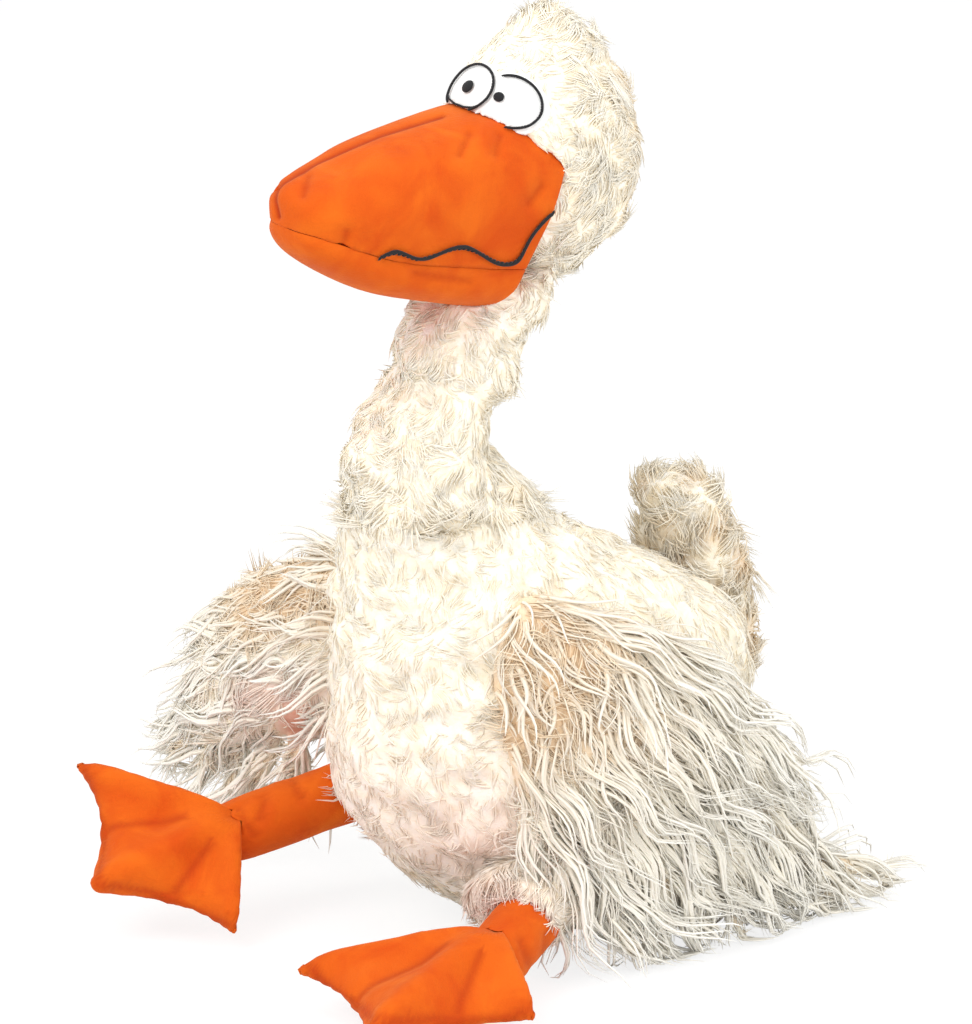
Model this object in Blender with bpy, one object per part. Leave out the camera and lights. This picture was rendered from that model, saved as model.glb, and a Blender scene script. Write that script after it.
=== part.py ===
# Plush goose that sits on its rear, with a long bent neck, a broad velour beak,
# long-haired wings, an upright tail and webbed feet on stuffed legs.
# Metres, +Z up. The goose faces -Y and its left side is +X. The origin is on the
# surface it sits on, under the middle of its body.
import math

import bmesh
import bpy
from mathutils import Matrix, Vector, noise
from mathutils.bvhtree import BVHTree

MM = 0.001

# Clearances
GAP = 0.3 * MM
PATCH_THICKNESS = 1.6 * MM

# Torso
TORSO_WIDTH = 150 * MM
TORSO_DEPTH = 189 * MM
TORSO_HEIGHT = 186 * MM
NECK_SEAM_FORWARD = 55 * MM
NECK_ROOT_DIAMETER = 76 * MM

# Neck
NECK_LENGTH = 92 * MM
NECK_DIAMETER = 50 * MM
NECK_TOP_FORWARD = 26 * MM

# Head, measured from its centre
HEAD_WIDTH = 75 * MM
HEAD_DEPTH = 85 * MM
HEAD_HEIGHT = 105 * MM
HEAD_LIFT = 139 * MM
HEAD_FORWARD = 2 * MM
HEAD_ROLL = math.radians(6)
CREST_HEIGHT = 13 * MM

# Beak
BEAK_REACH = 128 * MM
BEAK_WIDTH = 77 * MM
BEAK_DEPTH = 77 * MM
BEAK_TIP_ROUNDING = 24 * MM

# Face embroidery
EYE_WIDTH = 24 * MM
EYE_HEIGHT = 20 * MM
THREAD_DIAMETER = 1.3 * MM
PUPIL_WIDTH = 5.2 * MM
PUPIL_HEIGHT = 4.4 * MM
PUPIL_THICKNESS = 1.2 * MM
MOUTH_THREAD_DIAMETER = 1.6 * MM

# Wings
WING_LENGTH = 180 * MM
WING_THICKNESS = 22 * MM
LOCK_DIAMETER = 12 * MM
LOCK_LENGTH = 66 * MM

# Tail
TAIL_HEIGHT = 92 * MM
TAIL_WIDTH = 44 * MM
TAIL_BASE_HEIGHT = 88 * MM

# Legs and feet: their points are laid out in 150ths of the torso's width
LIMB_UNIT = TORSO_WIDTH / 150
LEG_DIAMETER = 27 * MM
THIGH_WIDTH = 50 * MM
THIGH_HEIGHT = 34 * MM
FOOT_THICKNESS = 19 * MM

# Fleece
TUFT_SIZE = 17 * MM
TUFT_DEPTH = 5 * MM

COLLECTION_NAME = "plush_goose"


# Scene and collections

def clear_scene():
    for old in list(bpy.data.objects):
        bpy.data.objects.remove(old, do_unlink=True)


def make_collection(name):
    collection = bpy.data.collections.new(name)
    bpy.context.scene.collection.children.link(collection)
    return collection


def make_material(name, color, roughness):
    material = bpy.data.materials.new(name)
    material.use_nodes = True
    shader = material.node_tree.nodes["Principled BSDF"]
    shader.inputs["Base Color"].default_value = (*color, 1.0)
    shader.inputs["Roughness"].default_value = roughness
    shader.inputs["Metallic"].default_value = 0.0
    return material


# Mesh helpers

def object_from_bmesh(name, bm, collection):
    bmesh.ops.recalc_face_normals(bm, faces=bm.faces)
    bmesh.ops.triangulate(bm, faces=bm.faces)
    mesh = bpy.data.meshes.new(name)
    bm.to_mesh(mesh)
    bm.free()
    result = bpy.data.objects.new(name, mesh)
    collection.objects.link(result)
    return result


def spline_value(table, row, column):
    """Catmull-Rom value of one column of a table, at a fractional row."""
    last = len(table) - 1
    index = min(int(row), last - 1)
    t = row - index
    before = table[max(index - 1, 0)][column]
    here = table[index][column]
    there = table[index + 1][column]
    after = table[min(index + 2, last)][column]
    slope_here = 0.5 * (there - before)
    slope_there = 0.5 * (after - here)
    smooth = t * t * (3 - 2 * t)
    return (here * (1 - smooth) + there * smooth
            + slope_here * t * (1 - t) ** 2 - slope_there * t * t * (1 - t))


def spline_row(table, row):
    return [spline_value(table, row, column) for column in range(len(table[0]))]


def spread_rows(table, count):
    return [spline_row(table, (len(table) - 1) * i / (count - 1)) for i in range(count)]


def loft(name, rings, collection):
    """Skin a list of rings with equal counts, and close both ends."""
    bm = bmesh.new()
    loops = [[bm.verts.new(point) for point in ring] for ring in rings]
    count = len(rings[0])
    for low, high in zip(loops, loops[1:]):
        for i in range(count):
            j = (i + 1) % count
            bm.faces.new((low[i], low[j], high[j], high[i]))
    for loop in (loops[0], loops[-1]):
        centre = sum((vert.co for vert in loop), Vector()) / count
        pole = bm.verts.new(centre)
        for i in range(count):
            bm.faces.new((loop[i], loop[(i + 1) % count], pole))
    return object_from_bmesh(name, bm, collection)


def ellipse_ring(centre, half_a, half_b, sides, turn=0.0):
    ring = []
    for i in range(sides):
        angle = 2 * math.pi * i / sides + turn
        ring.append(centre + half_a * math.cos(angle) + half_b * math.sin(angle))
    return ring


def swirl_at(place):
    """A smooth shift that bends the clumps into curls."""
    return Vector((noise.noise(place), noise.noise(place + Vector((7.3, 1.9, 4.1))),
                   noise.noise(place + Vector((2.7, 9.2, 5.6)))))


def tuft_height(point, size):
    """Rounded clumps of curly fleece with creases between them, from 0 to 1."""
    place = point / size
    swirl = swirl_at(place * 0.6) * 0.8
    nearest = noise.voronoi(place + swirl)[0]
    crease = min(1.0, (nearest[1] - nearest[0]) * 1.6)
    return crease ** 0.6


def raise_tufts(piece, size, depth, mask=None):
    """Push the surface out by the fleece's clumps, less where the mask is low."""
    mesh = piece.data
    bm = bmesh.new()
    bm.from_mesh(mesh)
    bm.normal_update()
    moves = []
    for vert in bm.verts:
        share = 1.0 if mask is None else mask(vert.co)
        moves.append(vert.normal * (tuft_height(vert.co, size) - 0.5) * depth * share)
    for vert, move in zip(bm.verts, moves):
        vert.co += move
    bm.to_mesh(mesh)
    bm.free()


def cut_flat(piece, point, normal):
    """Remove what lies on the normal's side of a plane and close the cut."""
    bm = bmesh.new()
    bm.from_mesh(piece.data)
    geometry = bm.verts[:] + bm.edges[:] + bm.faces[:]
    cut = bmesh.ops.bisect_plane(bm, geom=geometry, dist=1e-6, plane_co=point,
                                 plane_no=normal, clear_outer=True)
    rim = [item for item in cut["geom_cut"] if isinstance(item, bmesh.types.BMEdge)]
    bmesh.ops.triangle_fill(bm, edges=rim, use_beauty=True, use_dissolve=False)
    bmesh.ops.remove_doubles(bm, verts=bm.verts, dist=1e-6)
    bmesh.ops.recalc_face_normals(bm, faces=bm.faces)
    bm.to_mesh(piece.data)
    bm.free()


def inflated_copy(piece, clearance, collection):
    """A copy grown by the clearance, to cut a neighbour with."""
    bm = bmesh.new()
    bm.from_mesh(piece.data)
    bm.normal_update()
    for vert in bm.verts:
        vert.co += vert.normal * clearance * min(1.6, vert.calc_shell_factor())
    copy = object_from_bmesh(piece.name + "_cutter", bm, collection)
    copy.hide_render = True
    copy.display_type = "WIRE"
    return copy


def combine(piece, other, operation):
    """Apply one exact Boolean to a piece."""
    modifier = piece.modifiers.new("Combine", "BOOLEAN")
    modifier.operation = operation
    modifier.solver = "EXACT"
    modifier.object = other
    graph = bpy.context.evaluated_depsgraph_get()
    graph.update()
    result = bpy.data.meshes.new_from_object(piece.evaluated_get(graph))
    piece.modifiers.clear()
    old = piece.data
    piece.data = result
    bpy.data.meshes.remove(old)
    result.name = piece.name
    tidy_mesh(piece)


def tidy_mesh(piece):
    """Merge points that a cut left on top of each other and keep the main body."""
    bm = bmesh.new()
    bm.from_mesh(piece.data)
    bmesh.ops.remove_doubles(bm, verts=bm.verts, dist=0.02 * MM)
    bmesh.ops.dissolve_degenerate(bm, edges=bm.edges, dist=0.01 * MM)
    bmesh.ops.triangulate(bm, faces=bm.faces)
    islands = []
    seen = set()
    for face in bm.faces:
        if face in seen:
            continue
        island = []
        queue = [face]
        seen.add(face)
        while queue:
            here = queue.pop()
            island.append(here)
            for edge in here.edges:
                for beside in edge.link_faces:
                    if beside not in seen:
                        seen.add(beside)
                        queue.append(beside)
        islands.append(island)
    islands.sort(key=len, reverse=True)
    small = [face for island in islands[1:] for face in island]
    bmesh.ops.delete(bm, geom=small, context="FACES")
    loose = [vert for vert in bm.verts if not vert.link_faces]
    bmesh.ops.delete(bm, geom=loose, context="VERTS")
    bm.to_mesh(piece.data)
    bm.free()


def seat_against(piece, neighbour, clearance, cutters):
    """Cut a piece back to the named clearance from its neighbour."""
    cutter = inflated_copy(neighbour, clearance, cutters)
    combine(piece, cutter, "DIFFERENCE")
    bpy.data.objects.remove(cutter, do_unlink=True)


def surface_tree(piece):
    graph = bpy.context.evaluated_depsgraph_get()
    graph.update()
    return BVHTree.FromObject(piece, graph)


def thread_along(name, points, diameter, sides, closed, collection):
    """A round embroidery thread along the points."""
    curve = bpy.data.curves.new(name, "CURVE")
    curve.dimensions = "3D"
    curve.bevel_depth = diameter / 2
    curve.bevel_resolution = sides
    curve.use_fill_caps = True
    strand = curve.splines.new("POLY")
    strand.points.add(len(points) - 1)
    for slot, point in zip(strand.points, points):
        slot.co = (*point, 1.0)
    strand.use_cyclic_u = closed
    guide = bpy.data.objects.new(name, curve)
    collection.objects.link(guide)
    return curve_to_mesh(guide, collection)


def curve_to_mesh(guide, collection):
    graph = bpy.context.evaluated_depsgraph_get()
    graph.update()
    name = guide.name
    mesh = bpy.data.meshes.new_from_object(guide.evaluated_get(graph))
    bm = bmesh.new()
    bm.from_mesh(mesh)
    bmesh.ops.remove_doubles(bm, verts=bm.verts, dist=0.01 * MM)
    matrix = guide.matrix_world.copy()
    bpy.data.objects.remove(guide, do_unlink=True)
    bpy.data.meshes.remove(mesh)
    result = object_from_bmesh(name, bm, collection)
    result.matrix_world = matrix
    return result


def transform_mesh(piece, matrix):
    piece.data.transform(matrix)


# Torso and neck

def torso_table():
    """Height, forward shift, half width and half depth of the torso's sections."""
    half_w = TORSO_WIDTH / 2
    half_d = TORSO_DEPTH / 2
    top = TORSO_HEIGHT
    root = NECK_ROOT_DIAMETER / 2
    forward = NECK_SEAM_FORWARD
    return [
        [-0.050 * top, 0.33 * half_d, 0.10 * half_w, 0.10 * half_d],
        [-0.040 * top, 0.33 * half_d, 0.38 * half_w, 0.36 * half_d],
        [0.025 * top, 0.29 * half_d, 0.58 * half_w, 0.53 * half_d],
        [0.095 * top, 0.22 * half_d, 0.76 * half_w, 0.67 * half_d],
        [0.190 * top, 0.12 * half_d, 0.89 * half_w, 0.82 * half_d],
        [0.300 * top, 0.04 * half_d, 0.97 * half_w, 0.93 * half_d],
        [0.420 * top, 0.0, 1.00 * half_w, 0.98 * half_d],
        [0.540 * top, 0.0, 1.00 * half_w, 0.99 * half_d],
        [0.660 * top, -0.01 * half_d, 0.96 * half_w, 0.95 * half_d],
        [0.770 * top, -0.28 * forward, 0.86 * half_w, 0.81 * half_d],
        [0.860 * top, -0.55 * forward, 0.70 * half_w, 0.64 * half_d],
        [0.930 * top, -0.82 * forward, 0.42 * half_w + 0.36 * root, 0.28 * half_d + 0.46 * root],
        [1.000 * top, -forward, root * 0.97, root * 1.02],
        [1.060 * top, -1.10 * forward, root * 0.84, root * 0.88],
    ]


def torso_section(height):
    """Forward shift, half width and half depth of the torso at a height."""
    table = torso_table()
    low = table[0]
    for high in table[1:]:
        if height <= high[0]:
            share = (height - low[0]) / (high[0] - low[0])
            return [a + (b - a) * share for a, b in zip(low[1:], high[1:])]
        low = high
    return table[-1][1:]


def build_torso(parts):
    rings = []
    for height, shift, half_w, half_d in spread_rows(torso_table(), 29):
        centre = Vector((0, shift, height))
        rings.append(ellipse_ring(centre, Vector((half_w, 0, 0)), Vector((0, half_d, 0)), 42))
    body = loft("body", rings, parts)
    raise_tufts(body, TUFT_SIZE, TUFT_DEPTH)
    cut_flat(body, Vector((0, 0, 0)), Vector((0, 0, -1)))
    cut_flat(body, Vector((0, 0, TORSO_HEIGHT - GAP / 2)), Vector((0, 0, 1)))
    return body


def neck_table():
    """Height above the seam, place along Y and half widths of the neck's sections."""
    root = NECK_ROOT_DIAMETER / 2
    slim = NECK_DIAMETER / 2
    foot = -NECK_SEAM_FORWARD
    top = -NECK_TOP_FORWARD
    length = NECK_LENGTH
    return [
        [-0.16 * length, foot * 0.94, root * 1.10, root * 1.16],
        [0.00 * length, foot, root * 0.97, root * 1.02],
        [0.12 * length, foot * 1.11, root * 0.83, root * 0.86],
        [0.24 * length, foot * 1.17, root * 0.75, root * 0.76],
        [0.34 * length, foot * 1.16, root * 0.70, root * 0.71],
        [0.45 * length, foot * 1.10, slim * 1.00, slim * 1.00],
        [0.58 * length, foot * 0.85, slim * 0.93, slim * 0.93],
        [0.74 * length, foot * 0.77, slim * 1.02, slim * 1.04],
        [0.88 * length, foot * 0.30 + top * 0.70, slim * 1.08, slim * 1.12],
        [1.00 * length, top, slim * 1.00, slim * 1.05],
    ]


def build_neck(parts):
    rings = []
    for rise, place, half_w, half_d in spread_rows(neck_table(), 18):
        centre = Vector((0, place, TORSO_HEIGHT + rise))
        lean = Vector((0, half_d, 0.16 * half_d))
        rings.append(ellipse_ring(centre, Vector((half_w, 0, 0)), lean, 22))
    neck = loft("neck", rings, parts)
    raise_tufts(neck, TUFT_SIZE * 0.9, TUFT_DEPTH * 0.8)
    cut_flat(neck, Vector((0, 0, TORSO_HEIGHT + GAP / 2)), Vector((0, 0, -1)))
    return neck


# Head

def head_matrix():
    centre = Vector((0, -HEAD_FORWARD, TORSO_HEIGHT + HEAD_LIFT))
    return Matrix.Translation(centre) @ Matrix.Rotation(HEAD_ROLL, 4, "Y")


def face_mask(point):
    """Low on the smooth face behind the beak and around the eyes, high elsewhere."""
    forward = -point.y / (HEAD_DEPTH / 2)
    return max(0.0, min(1.0, (0.55 - forward) * 3.0))


def build_head(parts):
    bm = bmesh.new()
    bmesh.ops.create_icosphere(bm, subdivisions=4, radius=1.0)
    for vert in bm.verts:
        unit = vert.co.copy()
        narrow = 1.0 - 0.10 * max(0.0, unit.z) ** 2
        vert.co.x = unit.x * narrow * HEAD_WIDTH / 2
        vert.co.y = unit.y * narrow * HEAD_DEPTH / 2
        vert.co.z = unit.z * HEAD_HEIGHT / 2
        crest = math.exp(-((unit.x / 0.30) ** 2 + ((unit.y - 0.05) / 0.34) ** 2))
        if unit.z > 0:
            vert.co.z += CREST_HEIGHT * crest * (0.75 + 0.5 * noise.noise(unit * 6.0))
    head = object_from_bmesh("head", bm, parts)
    raise_tufts(head, TUFT_SIZE * 0.85, TUFT_DEPTH, face_mask)
    return head


# Beak

def beak_table():
    """Place along Y, half width, top, seam and bottom of the beak's sections."""
    half = BEAK_WIDTH / 2
    deep = BEAK_DEPTH
    reach = BEAK_REACH
    nose = BEAK_TIP_ROUNDING
    return [
        [-reach, 0.05 * half, -0.175 * deep, -0.190 * deep, -0.205 * deep],
        [-reach + 0.03 * nose, 0.24 * half, -0.060 * deep, -0.195 * deep, -0.275 * deep],
        [-reach + 0.20 * nose, 0.42 * half, 0.000 * deep, -0.205 * deep, -0.345 * deep],
        [-reach + 0.50 * nose, 0.55 * half, 0.045 * deep, -0.235 * deep, -0.415 * deep],
        [-reach + 1.00 * nose, 0.665 * half, 0.095 * deep, -0.295 * deep, -0.505 * deep],
        [-0.70 * reach, 0.78 * half, 0.165 * deep, -0.355 * deep, -0.590 * deep],
        [-0.52 * reach, 0.88 * half, 0.225 * deep, -0.405 * deep, -0.665 * deep],
        [-0.34 * reach, 0.96 * half, 0.275 * deep, -0.445 * deep, -0.730 * deep],
        [-0.18 * reach, 1.00 * half, 0.300 * deep, -0.470 * deep, -0.750 * deep],
        [-0.04 * reach, 1.00 * half, 0.300 * deep, -0.480 * deep, -0.740 * deep],
    ]


def beak_ring(row, upper, sides):
    """Half of a section: an arch above the jaw seam, or the bowl below it."""
    place, half, top, seam, bottom = row
    edge = seam + GAP / 2 if upper else seam - GAP / 2
    far = top if upper else bottom
    fullness = 0.62 if upper else 0.85
    pinch = min(1.6 * MM, 0.25 * half)
    ring = []
    for i in range(sides):
        angle = math.pi * i / (sides - 1)
        across = math.copysign(abs(math.cos(angle)) ** 0.80, math.cos(angle))
        rise = max(0.0, math.sin(angle)) ** fullness
        tuck = pinch * math.exp(-rise * 9)
        ring.append(Vector((across * (half - tuck), place, edge + (far - edge) * rise)))
    return ring if upper else ring[::-1]


def build_beak(parts):
    rows = spread_rows(beak_table(), 19)
    upper_rings = [beak_ring(row, True, 17) for row in rows]
    lower_rings = [beak_ring(row, False, 12) for row in rows]
    upper = loft("beak_upper", upper_rings, parts)
    lower = loft("beak_lower", lower_rings, parts)
    rear = Vector((0, -0.075 * BEAK_REACH, 0.17 * BEAK_DEPTH))
    throat = Vector((0, -0.34 * BEAK_REACH, -0.72 * BEAK_DEPTH))
    along = (rear - throat).normalized()
    normal = Vector((1, 0, 0)).cross(along)
    if normal.y < 0:
        normal.negate()
    cut_flat(upper, rear, normal)
    cut_flat(lower, rear, normal)
    return upper, lower


# Face

def eye_centre(side):
    """Direction of an eye from the head's centre: +1 is the left eye."""
    if side > 0:
        return Vector((0.39, -0.69, 0.64)).normalized()
    return Vector((-0.09, -0.74, 0.62)).normalized()


def eye_frame():
    """Right, up and outward directions at an eye."""
    outward = Vector((0.24, -0.72, 0.62)).normalized()
    right = Vector((0, 0, 1)).cross(outward).normalized()
    return right, outward.cross(right), outward


def eye_loop(side, count):
    """Points of an eye's outline, as offsets in the face's own plane."""
    right, up, outward = eye_frame()
    centre = eye_centre(side) * HEAD_DEPTH / 2
    ring = []
    for i in range(count):
        angle = 2 * math.pi * i / count
        ring.append(centre + right * math.cos(angle) * EYE_WIDTH / 2
                    + up * math.sin(angle) * EYE_HEIGHT / 2)
    return ring


def eye_prism(side, collection):
    outward = eye_frame()[2]
    margin = 1.0 + 2.4 * MM / EYE_WIDTH * 2
    loop = eye_loop(side, 20)
    centre = sum(loop, Vector()) / len(loop)
    grown = [centre + (point - centre) * margin for point in loop]
    rings = [[point - outward * 14 * MM for point in grown],
             [point + outward * 16 * MM for point in grown]]
    return loft("eye_prism", rings, collection)


def build_eye_patch(head, beak_upper, parts, cutters):
    """White velour laid on the head under both eyes."""
    patch = inflated_copy(head, GAP + PATCH_THICKNESS, parts)
    patch.name = "eye_patch"
    patch.hide_render = False
    patch.display_type = "TEXTURED"
    region = eye_prism(1, cutters)
    other = eye_prism(-1, cutters)
    combine(region, other, "UNION")
    combine(patch, region, "INTERSECT")
    seat_against(patch, head, GAP, cutters)
    seat_against(patch, beak_upper, GAP, cutters)
    bpy.data.objects.remove(other, do_unlink=True)
    bpy.data.objects.remove(region, do_unlink=True)
    return patch


def drop_on_surface(tree, point, direction, lift):
    """Where a line meets a surface that faces it, raised by the lift, or nothing."""
    start = point - direction * 40 * MM
    place, normal, _, _ = tree.ray_cast(start, direction)
    if place is None or normal.dot(direction) > -0.6:
        return None
    return place + normal * lift


def longest_run(path):
    """The longest stretch without a missing point around a closed path."""
    if None not in path:
        return path, True
    gap = path.index(None)
    turned = path[gap:] + path[:gap]
    best = []
    run = []
    for point in turned + [None]:
        if point is None:
            if len(run) > len(best):
                best = run
            run = []
        else:
            run.append(point)
    return best, False


def build_pupil(name, centre, across, up, outward, grow, parts):
    """A small satin-stitched dome with a flat back."""
    bm = bmesh.new()
    bmesh.ops.create_uvsphere(bm, u_segments=12, v_segments=8, radius=1.0)
    pupil = object_from_bmesh(name, bm, parts)
    cut_flat(pupil, Vector((0, 0, 0)), Vector((0, 0, -1)))
    frame = Matrix((across, up, outward)).transposed().to_4x4()
    scale = Matrix.Diagonal((PUPIL_WIDTH / 2 * grow, PUPIL_HEIGHT / 2 * grow,
                             PUPIL_THICKNESS, 1.0))
    transform_mesh(pupil, Matrix.Translation(centre) @ frame @ scale)
    return pupil


def build_eyes(patch, parts):
    """Embroidered outlines and pupils; the right eye overlaps the left one."""
    tree = surface_tree(patch)
    lift = GAP + THREAD_DIAMETER * 0.55
    face_right, face_up, outward = eye_frame()
    right_eye = eye_centre(-1) * HEAD_DEPTH / 2
    right_path = [drop_on_surface(tree, p, -outward, lift) for p in eye_loop(-1, 30)]
    left_path = []
    margin = THREAD_DIAMETER + 2 * GAP
    for point in eye_loop(1, 30):
        offset = point - right_eye
        a = offset.dot(face_right) / (EYE_WIDTH / 2 + margin)
        b = offset.dot(face_up) / (EYE_HEIGHT / 2 + margin)
        clear = a * a + b * b > 1.0
        left_path.append(drop_on_surface(tree, point, -outward, lift) if clear else None)
    pieces = []
    for name, path in (("eye_outline_right", right_path), ("eye_outline_left", left_path)):
        run, closed = longest_run(path)
        pieces.append(thread_along(name, run, THREAD_DIAMETER, 1, closed, parts))
    pupils = (("pupil_left", 1, -0.20, 1.0), ("pupil_right", -1, -0.02, 1.35))
    for name, side, across, grow in pupils:
        centre = eye_centre(side) * HEAD_DEPTH / 2 + face_right * across * EYE_WIDTH
        base = drop_on_surface(tree, centre, -outward, 1.6 * GAP)
        normal = tree.find_nearest(base)[1]
        across_face = (face_right - normal * face_right.dot(normal)).normalized()
        up_face = normal.cross(across_face)
        pieces.append(build_pupil(name, base, across_face, up_face, normal, grow, parts))
    return pieces


def mouth_points():
    """Forward share and height share of the wavy mouth line on the upper beak."""
    return [
        (0.780, -0.310), (0.735, -0.275), (0.680, -0.320), (0.630, -0.335),
        (0.565, -0.300), (0.500, -0.285), (0.435, -0.345), (0.375, -0.405),
        (0.315, -0.415), (0.290, -0.380), (0.265, -0.290), (0.225, -0.215), (0.185, -0.170),
    ]


def build_mouth(beak_upper, parts):
    """A thick wavy thread on each cheek of the upper beak."""
    tree = surface_tree(beak_upper)
    table = [[a, b] for a, b in mouth_points()]
    pieces = []
    lift = GAP + MOUTH_THREAD_DIAMETER / 2
    for side, name in ((1, "mouth_line_left"), (-1, "mouth_line_right")):
        path = []
        for forward, height in spread_rows(table, 25):
            start = Vector((side * BEAK_WIDTH, -forward * BEAK_REACH, height * BEAK_DEPTH))
            place, normal, _, _ = tree.ray_cast(start, Vector((-side, 0, 0)))
            if place is not None:
                path.append(place + normal * lift)
        pieces.append(thread_along(name, path, MOUTH_THREAD_DIAMETER, 1, False, parts))
    return pieces


# Wings

def lock_of_hair(name, root, tip, sway, phase, collection):
    """One wavy, tapering lock from its root to its tip."""
    along = tip - root
    aside = along.cross(Vector((1, 0.2, 0))).normalized()
    outward = along.cross(aside).normalized()
    count = 6
    curve = bpy.data.curves.new(name, "CURVE")
    curve.dimensions = "3D"
    curve.bevel_depth = LOCK_DIAMETER / 2
    curve.bevel_resolution = 1
    curve.use_fill_caps = True
    strand = curve.splines.new("POLY")
    strand.points.add(count - 1)
    for i, slot in enumerate(strand.points):
        share = i / (count - 1)
        wave = sway * share * math.sin(phase + share * 7.0)
        droop = sway * 0.6 * share * math.cos(phase * 1.7 + share * 5.0)
        slot.co = (*(root + along * share + aside * wave + outward * droop), 1.0)
        slot.radius = 0.95 * (1.0 - share) ** 0.75 + 0.16
    guide = bpy.data.objects.new(name, curve)
    collection.objects.link(guide)
    return curve_to_mesh(guide, collection)


def wing_side(place, height):
    """How far out the torso's flank lies where the left wing hangs on it."""
    level = max(height, 0.36 * TORSO_HEIGHT)
    shift, half_w, half_d = torso_section(level)
    back = min(0.0, (place - shift) / (half_d * 1.04))
    return half_w * math.sqrt(max(0.05, 1.0 - back * back))


def left_wing_table():
    """Place along Y, height, half chord and half thickness along the left wing."""
    length = WING_LENGTH
    thick = WING_THICKNESS / 2
    top = 0.82 * TORSO_HEIGHT
    return [
        [-0.33 * length, top, 0.03 * length, 0.35 * thick],
        [-0.31 * length, top - 0.06 * length, 0.12 * length, 0.8 * thick],
        [-0.24 * length, top - 0.18 * length, 0.21 * length, 1.0 * thick],
        [-0.12 * length, top - 0.32 * length, 0.27 * length, 1.0 * thick],
        [0.04 * length, top - 0.46 * length, 0.27 * length, 1.0 * thick],
        [0.19 * length, top - 0.57 * length, 0.21 * length, 0.9 * thick],
        [0.32 * length, top - 0.65 * length, 0.13 * length, 0.7 * thick],
        [0.38 * length, top - 0.68 * length, 0.03 * length, 0.35 * thick],
    ]


def drape_on_flank(piece):
    for vert in piece.data.vertices:
        vert.co.x += wing_side(vert.co.y, vert.co.z)


def build_left_wing(parts, cutters):
    rings = []
    for place, height, chord, thick in spread_rows(left_wing_table(), 15):
        centre = Vector((thick * 0.5, place, height))
        slope = Vector((0, -0.62, -0.78)) * chord
        rings.append(ellipse_ring(centre, slope, Vector((thick, 0, 0)), 18))
    wing = loft("wing_left", rings, parts)
    raise_tufts(wing, TUFT_SIZE, TUFT_DEPTH)
    fans = 11
    for i in range(fans):
        share = i / (fans - 1)
        row = spline_row(left_wing_table(), 6.6 - 4.1 * share)
        edge = Vector((0, -0.62, -0.78)) * row[2] * (0.15 + 0.65 * share)
        root = Vector((row[3] * 0.4, row[0], row[1])) + edge
        angle = math.radians(28 + 66 * share)
        reach = LOCK_LENGTH * (1.15 - 0.40 * share)
        tip = root + Vector((0.05, math.cos(angle), -math.sin(angle))) * reach
        lowest = 0.5 * LOCK_DIAMETER
        tip.z = max(tip.z, lowest)
        lock = lock_of_hair("lock", root, tip, 5 * MM, 1.3 * i, cutters)
        combine(wing, lock, "UNION")
        bpy.data.objects.remove(lock, do_unlink=True)
    drape_on_flank(wing)
    return wing


def right_wing_table():
    """Place along X, along Y, height, half chord and half thickness of the raised wing."""
    out = TORSO_WIDTH / 2
    span = 0.56 * WING_LENGTH
    high = 0.61 * TORSO_HEIGHT
    thick = WING_THICKNESS / 2
    return [
        [-out + 0.26 * span, -0.23 * WING_LENGTH, high, 0.17 * WING_LENGTH, 1.2 * thick],
        [-out + 0.10 * span, -0.26 * WING_LENGTH, high, 0.215 * WING_LENGTH, 1.5 * thick],
        [-out - 0.12 * span, -0.29 * WING_LENGTH, high - 0.05 * span, 0.225 * WING_LENGTH, 1.6 * thick],
        [-out - 0.34 * span, -0.31 * WING_LENGTH, high - 0.13 * span, 0.215 * WING_LENGTH, 1.6 * thick],
        [-out - 0.56 * span, -0.33 * WING_LENGTH, high - 0.24 * span, 0.195 * WING_LENGTH, 1.4 * thick],
        [-out - 0.72 * span, -0.33 * WING_LENGTH, high - 0.32 * span, 0.15 * WING_LENGTH, 1.0 * thick],
        [-out - 0.78 * span, -0.33 * WING_LENGTH, high - 0.36 * span, 0.04 * WING_LENGTH, 0.4 * thick],
    ]


def build_right_wing(parts, cutters):
    rings = []
    for out, place, height, chord, thick in spread_rows(right_wing_table(), 13):
        centre = Vector((out, place, height))
        rise = Vector((0.10, 0.10, 1.0)) * chord
        rings.append(ellipse_ring(centre, rise, Vector((0, thick, 0)), 18))
    wing = loft("wing_right", rings, parts)
    raise_tufts(wing, TUFT_SIZE, TUFT_DEPTH)
    for i in range(6):
        row = spline_row(right_wing_table(), 5.4 - 0.62 * i)
        root = Vector((row[0], row[1], row[2] - row[3] * 0.72))
        angle = math.radians(205 + 13 * i)
        tip = root + Vector((math.cos(angle), -0.05, math.sin(angle))) * LOCK_LENGTH * 0.55
        lock = lock_of_hair("lock", root, tip, 4 * MM, 2.1 * i, cutters)
        combine(wing, lock, "UNION")
        bpy.data.objects.remove(lock, do_unlink=True)
    return wing


# Tail

def build_tail(parts):
    half = TAIL_WIDTH / 2
    base = TAIL_BASE_HEIGHT
    rise = TAIL_HEIGHT
    back = TORSO_DEPTH / 2
    table = [
        [0.90 * back, base - 0.10 * rise, 0.20 * half],
        [0.93 * back, base - 0.06 * rise, 0.75 * half],
        [0.97 * back, base + 0.10 * rise, 1.00 * half],
        [0.96 * back, base + 0.35 * rise, 0.98 * half],
        [0.90 * back, base + 0.60 * rise, 0.95 * half],
        [0.84 * back, base + 0.80 * rise, 0.90 * half],
        [0.80 * back, base + 0.94 * rise, 0.70 * half],
        [0.79 * back, base + 1.00 * rise, 0.25 * half],
    ]
    rings = []
    for place, height, half_size in spread_rows(table, 15):
        centre = Vector((0, place, height))
        rings.append(ellipse_ring(centre, Vector((half_size, 0, 0)),
                                  Vector((0, half_size * 0.85, 0)), 18))
    tail = loft("tail", rings, parts)
    raise_tufts(tail, TUFT_SIZE * 0.8, TUFT_DEPTH * 1.5)
    return tail


# Legs, thighs and feet

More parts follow.
